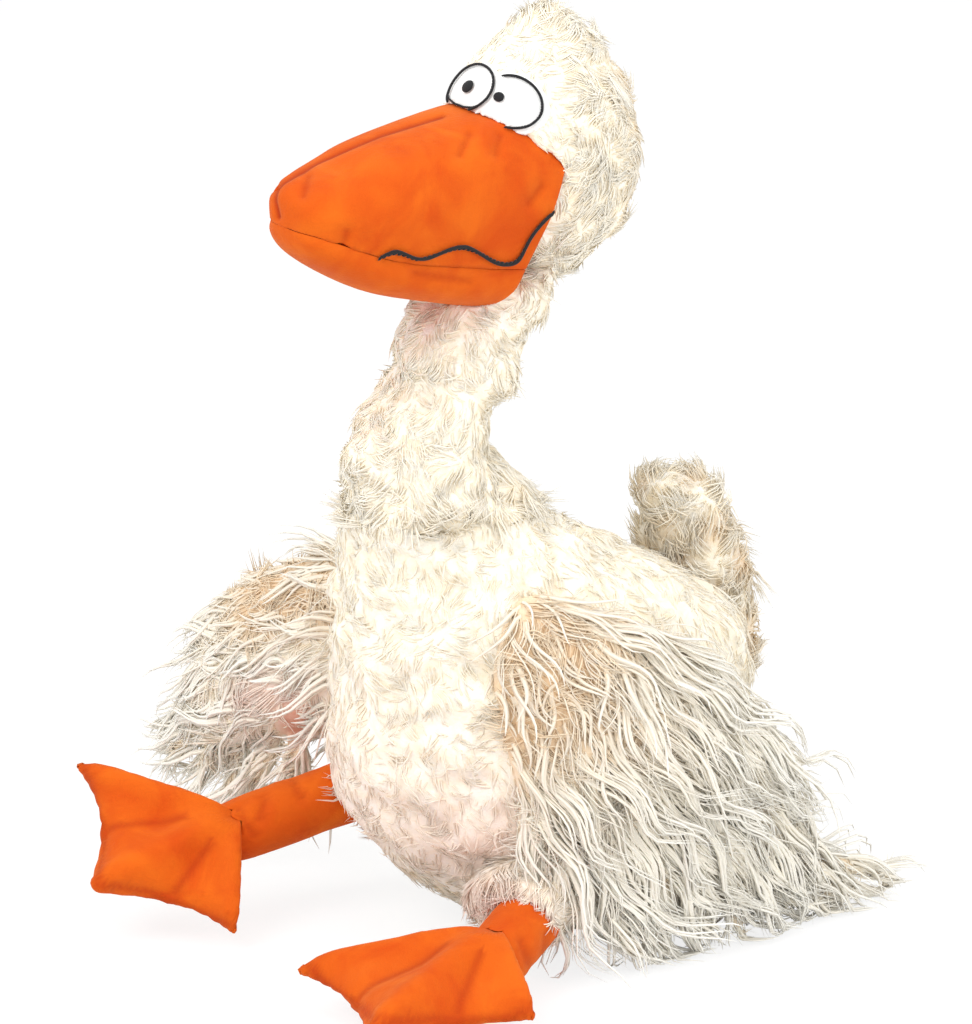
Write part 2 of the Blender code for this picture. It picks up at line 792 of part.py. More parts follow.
def leg_path(side):
    """Hip, knee and ankle of a leg; the left leg lies lower than the right one."""
    if side > 0:
        path = ((49, -24, 36), (60, -52, 29), (74, -88, 19))
    else:
        path = ((-44, -44, 58), (-56, -70, 50), (-74, -109, 38))
    return [Vector(point) * LIMB_UNIT for point in path]


def thigh_path(side):
    """Where the fleece over a thigh starts and where its hem ends."""
    if side > 0:
        path = ((48, -24, 37), (55, -66, 30))
    else:
        path = ((-46, -14, 40), (-51, -45, 43))
    return [Vector(point) * LIMB_UNIT for point in path]


def toe_points(side):
    """Tips of a foot's inner, middle and outer toes; the right foot is tipped up."""
    if side > 0:
        tips = ((24, -151, 14), (92, -167, 9), (117, -102, 9))
    else:
        tips = ((-124, -152, 65), (-83, -175, 24), (-41, -130, 6))
    return [Vector(point) * LIMB_UNIT for point in tips]


def build_leg(side, name, parts):
    hip, knee, ankle = leg_path(side)
    half = LEG_DIAMETER / 2
    along = (ankle - hip).normalized()
    table = [[0.00, 0.30], [0.02, 0.80], [0.10, 1.00], [0.30, 1.03], [0.50, 0.97],
             [0.70, 1.02], [0.90, 0.98], [1.00, 0.94], [1.06, 0.60]]
    rings = []
    across = Vector((0, 0, 1)).cross(along).normalized()
    up = along.cross(across)
    for share, size in spread_rows(table, 11):
        bend = knee - (hip + ankle) / 2
        centre = hip.lerp(ankle, share) + bend * 4 * share * (1 - share) * 0.5
        rings.append(ellipse_ring(centre, across * half * size, up * half * size, 14))
    return loft(name, rings, parts)


def build_thigh(side, name, parts):
    start, hem = thigh_path(side)
    share_of_size = 1.0 if side > 0 else 0.88
    half = THIGH_WIDTH / 2 * share_of_size
    low = THIGH_HEIGHT / 2 * share_of_size
    along = (hem - start).normalized()
    across = Vector((0, 0, 1)).cross(along).normalized()
    up = along.cross(across)
    table = [[-0.60, 0.20], [-0.50, 0.70], [-0.20, 1.00], [0.25, 1.02],
             [0.70, 0.98], [0.95, 0.90], [1.04, 0.66]]
    rings = []
    for share, size in spread_rows(table, 11):
        centre = start.lerp(hem, share)
        rings.append(ellipse_ring(centre, across * half * size, up * low * size, 18))
    thigh = loft(name, rings, parts)
    raise_tufts(thigh, TUFT_SIZE * 0.8, TUFT_DEPTH * 0.8)
    cut_flat(thigh, Vector((0, 0, 0.6 * MM)), Vector((0, 0, -1)))
    return thigh


def foot_edge(turn):
    """Reach of the webbed foot's rim for a turn from -1 to 1: three toes, two webs."""
    toes = 0.5 + 0.5 * math.cos(turn * 2 * math.pi)
    return 0.93 + 0.07 * toes


def build_foot(name, ankle, toe_left, toe_mid, toe_right, parts):
    """A stuffed fan: heel at the ankle, three toes with scalloped webs between."""
    heel_to_mid = toe_mid - ankle
    forward = heel_to_mid.normalized()
    up = forward.cross(toe_right - toe_left).normalized()
    if up.z < 0:
        up.negate()
    columns = 21
    rows = 7
    bm = bmesh.new()
    top = []
    bottom = []
    for i in range(columns):
        turn = -1 + 2 * i / (columns - 1)
        toe = toe_left if turn < 0 else toe_right
        blend = abs(turn)
        aim = toe_mid.lerp(toe, math.sin(blend * math.pi / 2) ** 1.1)
        rim = ankle + (aim - ankle) * foot_edge(turn)
        top_column = []
        bottom_column = []
        for j in range(1, rows):
            share = j / (rows - 1)
            spine = ankle - forward * 0.3 * FOOT_THICKNESS
            place = spine.lerp(rim, share) + up * 0.10 * FOOT_THICKNESS * (1 - share)
            edge_near = 1 - share ** 5
            side_near = min(1.0, (1 - blend) * 3.0 + 0.30)
            puff = FOOT_THICKNESS / 2 * (edge_near * side_near) ** 0.5
            ridge = 1.0 + 0.16 * math.cos(turn * 2 * math.pi) * share
            swell = 1.0 + 0.45 * math.exp(-((share - 0.18) / 0.22) ** 2)
            if j == rows - 1:
                vert = bm.verts.new(place)
                top_column.append(vert)
                bottom_column.append(vert)
            else:
                puff = max(puff, 2.2 * MM)
                top_column.append(bm.verts.new(place + up * puff * ridge * swell))
                bottom_column.append(bm.verts.new(place - up * puff * 0.75))
        top.append(top_column)
        bottom.append(bottom_column)
    heel_top = bm.verts.new(ankle - forward * 0.3 * FOOT_THICKNESS + up * FOOT_THICKNESS * 0.62)
    heel_bottom = bm.verts.new(ankle - forward * 0.3 * FOOT_THICKNESS - up * FOOT_THICKNESS * 0.40)
    for i in range(columns - 1):
        for j in range(rows - 2):
            bm.faces.new((top[i][j], top[i + 1][j], top[i + 1][j + 1], top[i][j + 1]))
            bm.faces.new((bottom[i][j], bottom[i][j + 1], bottom[i + 1][j + 1], bottom[i + 1][j]))
        bm.faces.new((heel_top, top[i + 1][0], top[i][0]))
        bm.faces.new((heel_bottom, bottom[i][0], bottom[i + 1][0]))
    for i in (0, columns - 1):
        for j in range(rows - 2):
            if j == rows - 3:
                bm.faces.new((top[i][j], top[i][j + 1], bottom[i][j]))
            else:
                bm.faces.new((top[i][j], top[i][j + 1], bottom[i][j + 1], bottom[i][j]))
        bm.faces.new((heel_top, top[i][0], bottom[i][0], heel_bottom))
    return object_from_bmesh(name, bm, parts)


# Assembly

def finish(piece, material):
    piece.data.materials.clear()
    piece.data.materials.append(material)
    piece.data.shade_smooth()
    piece.data.set_sharp_from_angle(angle=math.radians(50))


def main():
    clear_scene()
    parts = make_collection(COLLECTION_NAME)
    cutters = make_collection(COLLECTION_NAME + "_cutters")
    fleece = make_material("cream_fleece", (0.86, 0.78, 0.65), 0.95)
    long_hair = make_material("long_cream_hair", (0.84, 0.77, 0.63), 0.9)
    velour = make_material("orange_velour", (0.85, 0.15, 0.015), 0.85)
    white = make_material("white_velour", (0.92, 0.92, 0.90), 0.8)
    thread = make_material("black_thread", (0.02, 0.02, 0.02), 0.6)

    beak_upper, beak_lower = build_beak(parts)
    head = build_head(parts)
    seat_against(head, beak_upper, GAP, cutters)
    seat_against(head, beak_lower, GAP, cutters)
    patch = build_eye_patch(head, beak_upper, parts, cutters)
    threads = build_eyes(patch, parts)
    threads += build_mouth(beak_upper, parts)
    for piece in [beak_upper, beak_lower, head, patch] + threads:
        transform_mesh(piece, head_matrix())

    neck = build_neck(parts)
    for neighbour in (head, beak_upper, beak_lower):
        seat_against(neck, neighbour, GAP, cutters)

    feet = []
    legs = []
    for side in (1, -1):
        word = "left" if side > 0 else "right"
        ankle = leg_path(side)[2]
        foot = build_foot("foot_" + word, ankle, *toe_points(side), parts)
        cut_flat(foot, Vector((0, 0, 0.6 * MM)), Vector((0, 0, -1)))
        leg = build_leg(side, "leg_" + word, parts)
        feet.append(foot)
        legs.append(leg)

    body = build_torso(parts)
    for leg in legs:
        seat_against(body, leg, GAP, cutters)
    tail = build_tail(parts)
    seat_against(tail, body, GAP, cutters)
    thighs = []
    for side, leg in ((1, legs[0]), (-1, legs[1])):
        thigh = build_thigh(side, "thigh_left" if side > 0 else "thigh_right", parts)
        seat_against(thigh, body, GAP, cutters)
        seat_against(thigh, leg, GAP, cutters)
        thighs.append(thigh)
    for leg, foot in zip(legs, feet):
        seat_against(leg, foot, GAP, cutters)

    wing_left = build_left_wing(parts, cutters)
    seat_against(wing_left, body, GAP, cutters)
    seat_against(wing_left, thighs[0], GAP, cutters)
    wing_right = build_right_wing(parts, cutters)
    seat_against(wing_right, body, GAP, cutters)

    for piece in (body, neck, head, tail, *thighs):
        finish(piece, fleece)
    for piece in (wing_left, wing_right):
        finish(piece, long_hair)
    for piece in (beak_upper, beak_lower, *legs, *feet):
        finish(piece, velour)
    finish(patch, white)
    for piece in threads:
        finish(piece, thread)


main()
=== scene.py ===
# Plush goose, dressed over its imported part: fleece, long wing hair, velour and embroidery
import math

import bmesh
import bpy
import numpy as np
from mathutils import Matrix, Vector
from mathutils.bvhtree import BVHTree


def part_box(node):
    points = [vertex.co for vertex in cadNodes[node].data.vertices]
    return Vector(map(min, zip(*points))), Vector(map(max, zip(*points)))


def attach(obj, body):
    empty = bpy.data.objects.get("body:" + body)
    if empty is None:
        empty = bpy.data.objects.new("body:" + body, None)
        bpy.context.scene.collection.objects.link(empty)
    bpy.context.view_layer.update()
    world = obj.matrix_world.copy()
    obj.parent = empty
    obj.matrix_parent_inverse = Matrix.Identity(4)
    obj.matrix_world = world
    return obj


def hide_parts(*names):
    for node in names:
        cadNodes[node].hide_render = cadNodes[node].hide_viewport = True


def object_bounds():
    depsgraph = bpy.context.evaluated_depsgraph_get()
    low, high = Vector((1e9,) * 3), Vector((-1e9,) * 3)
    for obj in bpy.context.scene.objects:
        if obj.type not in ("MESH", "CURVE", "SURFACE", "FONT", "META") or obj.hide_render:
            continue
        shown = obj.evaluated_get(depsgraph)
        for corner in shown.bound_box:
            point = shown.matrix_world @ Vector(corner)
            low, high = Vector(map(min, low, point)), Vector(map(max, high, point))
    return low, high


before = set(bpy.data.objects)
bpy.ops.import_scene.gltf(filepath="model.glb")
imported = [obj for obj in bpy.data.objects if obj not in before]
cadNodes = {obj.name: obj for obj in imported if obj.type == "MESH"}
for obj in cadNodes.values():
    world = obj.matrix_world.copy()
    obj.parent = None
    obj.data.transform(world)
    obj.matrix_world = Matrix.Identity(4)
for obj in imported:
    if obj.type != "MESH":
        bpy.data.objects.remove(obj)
cadBox = [list(corner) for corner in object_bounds()]
mm = 0.001
print("frame loaded")

# the photograph's camera, its aim, and the photograph's middle and pixels a metre,
# which the paint on the pieces uses too
studio = {
    "azimuth": 50.0, "elevation": 15.0, "distance": 1.9, "lens": 162.3,
    "target": (0.0, 0.0, 0.190), "aside": -0.0222, "lifted": -0.0156,
    "middle": (486, 512), "pixels": 2430,
}


def newObject(name, data):
    thing = bpy.data.objects.new(name, data)
    bpy.context.scene.collection.objects.link(thing)
    return thing


# small helpers for node trees

def shade(red, green, blue):
    # a colour as a screen shows it, 0 to 255, to the linear one that nodes take
    def one(level):
        level = level / 255
        return level / 12.92 if level <= 0.04045 else ((level + 0.055) / 1.055) ** 2.4
    return (one(red), one(green), one(blue), 1.0)


def addNode(tree, kind, links=None, **settings):
    node = tree.nodes.new(kind)
    for key, value in settings.items():
        setattr(node, key, value)
    for socket, value in (links or {}).items():
        if isinstance(value, bpy.types.NodeSocket):
            tree.links.new(value, node.inputs[socket])
        else:
            node.inputs[socket].default_value = value
    return node


def number(tree, operation, a, b=None):
    links = {0: a} if b is None else {0: a, 1: b}
    return addNode(tree, "ShaderNodeMath", links, operation=operation).outputs[0]


def times(tree, a, b):
    return number(tree, "MULTIPLY", a, b)


def plus(tree, a, b):
    return number(tree, "ADD", a, b)


def minus(tree, a, b):
    return number(tree, "SUBTRACT", a, b)


def vector(tree, operation, a, b=None):
    links = {0: a} if b is None else {0: a, 1: b}
    node = addNode(tree, "ShaderNodeVectorMath", links, operation=operation)
    return node.outputs["Value" if operation == "DOT_PRODUCT" else "Vector"]


def scaled(tree, a, scale):
    links = {0: a, "Scale": scale}
    return addNode(tree, "ShaderNodeVectorMath", links, operation="SCALE").outputs["Vector"]


def attribute(tree, name, kind="FLOAT"):
    node = addNode(tree, "GeometryNodeInputNamedAttribute", {"Name": name}, data_type=kind)
    return node.outputs["Attribute"]


def keep(tree, geometry, name, value, kind="FLOAT"):
    links = {"Geometry": geometry, "Name": name, "Value": value}
    node = addNode(tree, "GeometryNodeStoreNamedAttribute", links, data_type=kind, domain="POINT")
    return node.outputs["Geometry"]


def newTree(name, sockets):
    tree = bpy.data.node_groups.new(name, "GeometryNodeTree")
    tree.interface.new_socket("Geometry", in_out="INPUT", socket_type="NodeSocketGeometry")
    for label, kind, value in sockets:
        socket = tree.interface.new_socket(label, in_out="INPUT", socket_type="NodeSocket" + kind)
        if value is not None:
            socket.default_value = value
    tree.interface.new_socket("Geometry", in_out="OUTPUT", socket_type="NodeSocketGeometry")
    return tree


def finishTree(tree, made, material):
    # every tree ends in real geometry with its material
    real = addNode(tree, "GeometryNodeRealizeInstances", {"Geometry": made})
    clad = addNode(tree, "GeometryNodeSetMaterial", {
        "Geometry": real.outputs["Geometry"], "Material": material})
    addNode(tree, "NodeGroupOutput", {"Geometry": clad.outputs["Geometry"]})


def runTree(source, tree, values, name):
    # the tree's result on a piece, as a plain mesh in a new object
    holder = newObject(name, source.data.copy())
    modifier = holder.modifiers.new(tree.name, "NODES")
    modifier.node_group = tree
    for item in tree.interface.items_tree:
        if item.item_type == "SOCKET" and item.in_out == "INPUT" and item.name in values:
            modifier[item.identifier] = values[item.name]
    graph = bpy.context.evaluated_depsgraph_get()
    graph.update()
    mesh = bpy.data.meshes.new_from_object(holder.evaluated_get(graph))
    holder.modifiers.clear()
    mesh.name = name
    holder.data = mesh
    return holder


# pieces cut from the part's own solids

def skinOf(node, levels, name=None, rims=None):
    # a merged, rounded copy of a CAD node, with edges sharper than the rims angle kept
    mesh = cadNodes[node].data.copy()
    if "custom_normal" in mesh.attributes:
        mesh.attributes.remove(mesh.attributes["custom_normal"])
    shape = bmesh.new()
    shape.from_mesh(mesh)
    bmesh.ops.remove_doubles(shape, verts=shape.verts, dist=0.01 * mm)
    bmesh.ops.recalc_face_normals(shape, faces=shape.faces)
    for face in shape.faces:
        face.smooth = True
    for edge in shape.edges:
        edge.smooth = True
    if rims is not None:
        held = shape.edges.layers.float.new("crease_edge")
        for edge in shape.edges:
            if edge.is_manifold and edge.calc_face_angle() > math.radians(rims):
                edge[held] = 1.0
    shape.to_mesh(mesh)
    shape.free()
    mesh.materials.clear()
    piece = newObject(name or node + "_skin", mesh)
    if levels:
        rounded = piece.modifiers.new("Rounded", "SUBSURF")
        rounded.levels = rounded.render_levels = levels
        applyAll(piece)
    return piece


restHeight = 1.0 * mm
lumpsOutward = 0.36  # level of the noise that moves nothing; what is above it swells


def plump(piece, lumpSize, height):
    # soft lumps that the stuffing and the curls push out of the cloth
    lumps = bpy.data.textures.new(piece.name + "_lumps", "CLOUDS")
    lumps.noise_scale = lumpSize
    lumps.noise_depth = 1
    pushed = piece.modifiers.new("Lumps", "DISPLACE")
    pushed.texture = lumps
    pushed.texture_coords = "LOCAL"
    pushed.strength = height
    pushed.mid_level = lumpsOutward
    applyAll(piece)
    bpy.data.textures.remove(lumps)
    places = points(piece)
    places[:, 2] = np.maximum(places[:, 2], restHeight)
    setPoints(piece, places)


def applyAll(piece):
    graph = bpy.context.evaluated_depsgraph_get()
    graph.update()
    mesh = bpy.data.meshes.new_from_object(piece.evaluated_get(graph))
    piece.modifiers.clear()
    piece.data = mesh


def points(piece):
    places = np.zeros(len(piece.data.vertices) * 3, np.float32)
    piece.data.vertices.foreach_get("co", places)
    return places.reshape(-1, 3).astype(float)


def normals(piece):
    found = np.zeros(len(piece.data.vertices) * 3, np.float32)
    piece.data.vertices.foreach_get("normal", found)
    return found.reshape(-1, 3).astype(float)


def setPoints(piece, places):
    piece.data.vertices.foreach_set("co", places.astype(np.float32).ravel())
    piece.data.update()


def smooth(piece):
    for polygon in piece.data.polygons:
        polygon.use_smooth = True


def paint(piece, name, values):
    # one value or vector for each point, read by fur trees and materials
    kind = "FLOAT" if values.ndim == 1 else "FLOAT_VECTOR"
    layer = piece.data.attributes.new(name, kind, "POINT")
    layer.data.foreach_set("value" if kind == "FLOAT" else "vector",
                           values.astype(np.float32).ravel())


def unit(rows):
    return rows / np.maximum(np.linalg.norm(rows, axis=1, keepdims=True), 1e-9)


def fade(gap):
    # 1 at no gap, falling smoothly to about a fifth at a gap of 1
    return np.exp(-gap * gap * 1.5)


def bell(gap, width):
    return np.exp(-(gap / width) ** 2)


def near(places, centre, reach, strength=1.0):
    # how near points are to a centre in space
    return strength * fade(np.linalg.norm(places - np.array(centre), axis=1) / reach)


def towards(azimuth, elevation):
    # the direction from the goose to what stands at these angles
    turned, raised = math.radians(azimuth), math.radians(elevation)
    return (math.sin(turned) * math.cos(raised), -math.cos(turned) * math.cos(raised),
            math.sin(raised))


toCamera = np.array(towards(studio["azimuth"], studio["elevation"]))


def photoPlace(places):
    # where points show in the photograph, in its pixels
    turned = math.radians(studio["azimuth"])
    right = np.array([math.cos(turned), math.sin(turned), 0.0])
    up = np.cross(toCamera, right)
    offset = places - np.array(studio["target"])
    across = studio["middle"][0] + studio["pixels"] * (offset @ right - studio["aside"])
    down = studio["middle"][1] - studio["pixels"] * (offset @ up - studio["lifted"])
    return np.stack([across, down], 1)


def patch(places, spots):
    # painted spots, each a place in the photograph, a reach in its pixels and a strength
    flat = photoPlace(places)
    total = 0
    for x, y, reach, strength in spots:
        gap = np.linalg.norm(flat - np.array([x, y]), axis=1) / reach
        total = total + strength * fade(gap)
    return np.clip(total, 0, 1)


def lineGap(flat, path):
    # distance of flat points to a path drawn in the photograph
    best = np.full(len(flat), 1e9)
    for start, end in zip(path, path[1:]):
        start, end = np.array(start, float), np.array(end, float)
        run = end - start
        share = np.clip(((flat - start) @ run) / max(run @ run, 1e-9), 0, 1)
        best = np.minimum(best, np.linalg.norm(flat - start - share[:, None] * run, axis=1))
    return best


# how far hair may pass the part's own box, and how short it may get for that
hairRoom = {"past": 0.009, "pastRear": 0.002, "least": 0.004, "bend": 1.5, "shortest": 0.15}


def roomFor(places, flowRows, length):
    # share of a lock's length that fits in there
    past = hairRoom["past"]
    low = np.array(cadBox[0]) - past
    high = np.array(cadBox[1]) + np.array([past, hairRoom["pastRear"], past])
    share = np.full(len(places), 1.0)
    for axis in range(3):
        pace = flowRows[:, axis]
        gap = np.where(pace > 0, high[axis] - places[:, axis], places[:, axis] - low[axis])
        needed = np.abs(pace) * length * hairRoom["bend"] + 1e-6
        share = np.minimum(share, np.maximum(gap, hairRoom["least"]) / needed)
    return np.clip(share, hairRoom["shortest"], 1.0)


def dress(piece, slotName, *replaced, fill=None):
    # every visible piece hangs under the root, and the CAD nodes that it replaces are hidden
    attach(piece, "root")
    if replaced:
        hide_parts(*replaced)


# materials

# the roots are a little darker and warmer than the tips, a painted warm shade deep in the pile
fleeceColours = {
    "tips": shade(255, 253, 246),
    "roots": shade(253, 240, 214),
    "tanTips": shade(252, 236, 210),
    "tanRoots": shade(232, 200, 160),
    # a painted orange reflection of the orange parts nearby
    "orangeReflection": shade(253, 231, 218),
    # painted shade with the leg's orange reflected in it
    "shadeWithLegReflection": shade(222, 158, 132),
}

velourColours = {
    "pile": shade(206, 76, 2),
    "stroked": shade(222, 100, 12),
    # painted shade in creases and seams
    "creaseShade": shade(172, 50, 0),
}


def grainGroup():
    # fine pile: a height for bump and a slow light and dark mottle
    tree = bpy.data.node_groups.new("pileGrain", "ShaderNodeTree")
    face = tree.interface
    face.new_socket("Vector", in_out="INPUT", socket_type="NodeSocketVector")
    face.new_socket("Fibre Scale", in_out="INPUT", socket_type="NodeSocketFloat")
    face.new_socket("Mottle Scale", in_out="INPUT", socket_type="NodeSocketFloat")
    face.new_socket("Height", in_out="OUTPUT", socket_type="NodeSocketFloat")
    face.new_socket("Mottle", in_out="OUTPUT", socket_type="NodeSocketFloat")
    source = addNode(tree, "NodeGroupInput")
    fibre = addNode(tree, "ShaderNodeTexNoise", {
        "Vector": source.outputs["Vector"], "Scale": source.outputs["Fibre Scale"],
        "Detail": 2.0, "Roughness": 0.7, "Distortion": 0.4})
    mottle = addNode(tree, "ShaderNodeTexNoise", {
        "Vector": source.outputs["Vector"], "Scale": source.outputs["Mottle Scale"],
        "Detail": 3.0, "Roughness": 0.55, "Distortion": 0.8})
    level = addNode(tree, "ShaderNodeMapRange", {
        "Value": mottle.outputs["Fac"], "From Min": 0.32, "From Max": 0.68})
    addNode(tree, "NodeGroupOutput", {
        "Height": fibre.outputs["Fac"], "Mottle": level.outputs["Result"]})
    return tree


pileGrain = grainGroup()


def newMaterial(name, roughness, sheen, sheenRoughness):
    material = bpy.data.materials.new(name)
    material.use_nodes = True
    shader = material.node_tree.nodes["Principled BSDF"]
    shader.inputs["Roughness"].default_value = roughness
    shader.inputs["Specular IOR Level"].default_value = 0.2
    shader.inputs["Sheen Weight"].default_value = sheen
    shader.inputs["Sheen Roughness"].default_value = sheenRoughness
    return material, material.node_tree, shader


def mixColour(tree, factor, first, second, blend="MIX"):
    node = addNode(tree, "ShaderNodeMix", {0: factor, 6: first, 7: second},
                   data_type="RGBA", blend_type=blend)
    return node.outputs[2]


def painted(tree, name):
    # a value painted on the points of a piece
    return addNode(tree, "ShaderNodeAttribute", attribute_name=name).outputs["Fac"]


def toned(tree, cream, tan, orangeReflection):
    # tan where "tone" is high, and below 0 the pink of a painted orange reflection
    tone = painted(tree, "tone")
    tanShare = number(tree, "MAXIMUM", tone, 0.0)
    reflectionShare = number(tree, "MAXIMUM", times(tree, tone, -1.0), 0.0)
    return mixColour(tree, reflectionShare, mixColour(tree, tanShare, cream, tan), orangeReflection)


def hairMaterial(name, colours, roughness=0.8):
    # root to tip colour, the darker and warmer roots a painted shade deep in the pile, each strand
    # a little lighter or darker
    material, tree, shader = newMaterial(name, roughness, 0.0, 0.5)
    along = painted(tree, "along")
    cream = mixColour(tree, along, colours["roots"], colours["tips"])
    tan = mixColour(tree, along, colours["tanRoots"], colours["tanTips"])
    colour = toned(tree, cream, tan, colours["orangeReflection"])
    level = addNode(tree, "ShaderNodeMapRange", {
        "Value": painted(tree, "tuft"), "To Min": 0.94, "To Max": 1.0}).outputs["Result"]
    strength = addNode(tree, "ShaderNodeCombineColor", {0: level, 1: level, 2: level})
    colour = mixColour(tree, 1.0, colour, strength.outputs["Color"], "MULTIPLY")
    tree.links.new(colour, shader.inputs["Base Color"])
    return material


def underFleeceMaterial(name, colours):
    # the cloth that the strands grow from, smooth, and salmon where a painted shade with the leg's
    # orange reflection in it lies
    material, tree, shader = newMaterial(name, 0.95, 0.2, 0.6)
    place = addNode(tree, "ShaderNodeTexCoord").outputs["Object"]
    grain = addNode(tree, "ShaderNodeGroup", {
        "Vector": place, "Fibre Scale": 900.0, "Mottle Scale": 120.0}, node_tree=pileGrain)
    cream = mixColour(tree, grain.outputs["Mottle"], colours["roots"], colours["tips"])
    colour = toned(tree, cream, colours["tanRoots"], colours["orangeReflection"])
    colour = mixColour(tree, painted(tree, "shadeWithLegReflection"), colour, colours["shadeWithLegReflection"])
    tree.links.new(colour, shader.inputs["Base Color"])
    bump = addNode(tree, "ShaderNodeBump", {
        "Height": grain.outputs["Height"], "Strength": 0.6, "Distance": 0.8 * mm})
    tree.links.new(bump.outputs["Normal"], shader.inputs["Normal"])
    return material


def velourMaterial(name, colours):
    # short pile that shows lighter where it was stroked, with painted shade in creases and seams
    material, tree, shader = newMaterial(name, 0.82, 0.22, 0.45)
    shader.inputs["Sheen Tint"].default_value = (1.0, 0.55, 0.22, 1.0)
    place = addNode(tree, "ShaderNodeTexCoord").outputs["Object"]
    grain = addNode(tree, "ShaderNodeGroup", {
        "Vector": place, "Fibre Scale": 800.0, "Mottle Scale": 45.0}, node_tree=pileGrain)
    soft = times(tree, grain.outputs["Mottle"], 0.95)
    colour = mixColour(tree, soft, colours["pile"], colours["stroked"])
    colour = mixColour(tree, painted(tree, "crease"), colour, colours["creaseShade"])
    tree.links.new(colour, shader.inputs["Base Color"])
    folds = addNode(tree, "ShaderNodeTexNoise", {
        "Vector": place, "Scale": 70.0, "Detail": 1.0, "Distortion": 0.6})
    height = plus(tree, times(tree, grain.outputs["Height"], 0.55),
                  times(tree, folds.outputs["Fac"], 1.6))
    bump = addNode(tree, "ShaderNodeBump", {
        "Height": height, "Strength": 0.5, "Distance": 1.0 * mm})
    tree.links.new(bump.outputs["Normal"], shader.inputs["Normal"])
    return material


def plainPileMaterial(name, colour, fibreScale, strength):
    material, tree, shader = newMaterial(name, 0.85, 0.2, 0.4)
    place = addNode(tree, "ShaderNodeTexCoord").outputs["Object"]
    grain = addNode(tree, "ShaderNodeGroup", {
        "Vector": place, "Fibre Scale": fibreScale, "Mottle Scale": 200.0}, node_tree=pileGrain)
    dim = (colour[0] * 0.9, colour[1] * 0.9, colour[2] * 0.9, 1.0)
    mixed = mixColour(tree, grain.outputs["Mottle"], dim, colour)
    tree.links.new(mixed, shader.inputs["Base Color"])
    bump = addNode(tree, "ShaderNodeBump", {
        "Height": grain.outputs["Height"], "Strength": strength, "Distance": 0.4 * mm})
    tree.links.new(bump.outputs["Normal"], shader.inputs["Normal"])
    return material


fleeceHair = hairMaterial("curlyFleecePile", fleeceColours)
wingHair = hairMaterial("longWingHair", {**fleeceColours, "tips": shade(255, 253, 246),
                                         "roots": shade(255, 247, 230)}, 0.6)
fleeceBacking = underFleeceMaterial("fleeceBacking", fleeceColours)
orangeVelour = velourMaterial("orangeVelour", velourColours)
whiteVelour = plainPileMaterial("whiteEyeVelour", shade(253, 254, 252), 1800.0, 0.25)
blackThread = plainPileMaterial("blackThread", shade(40, 40, 42), 2500.0, 0.4)
print("materials ready")


# fur: strands that grow from a skin, gather in clumps and lie along its flow

furthestPush = 0.02  # how far a strand is lifted out of its skin
lowestHair = 0.0024  # height over the floor


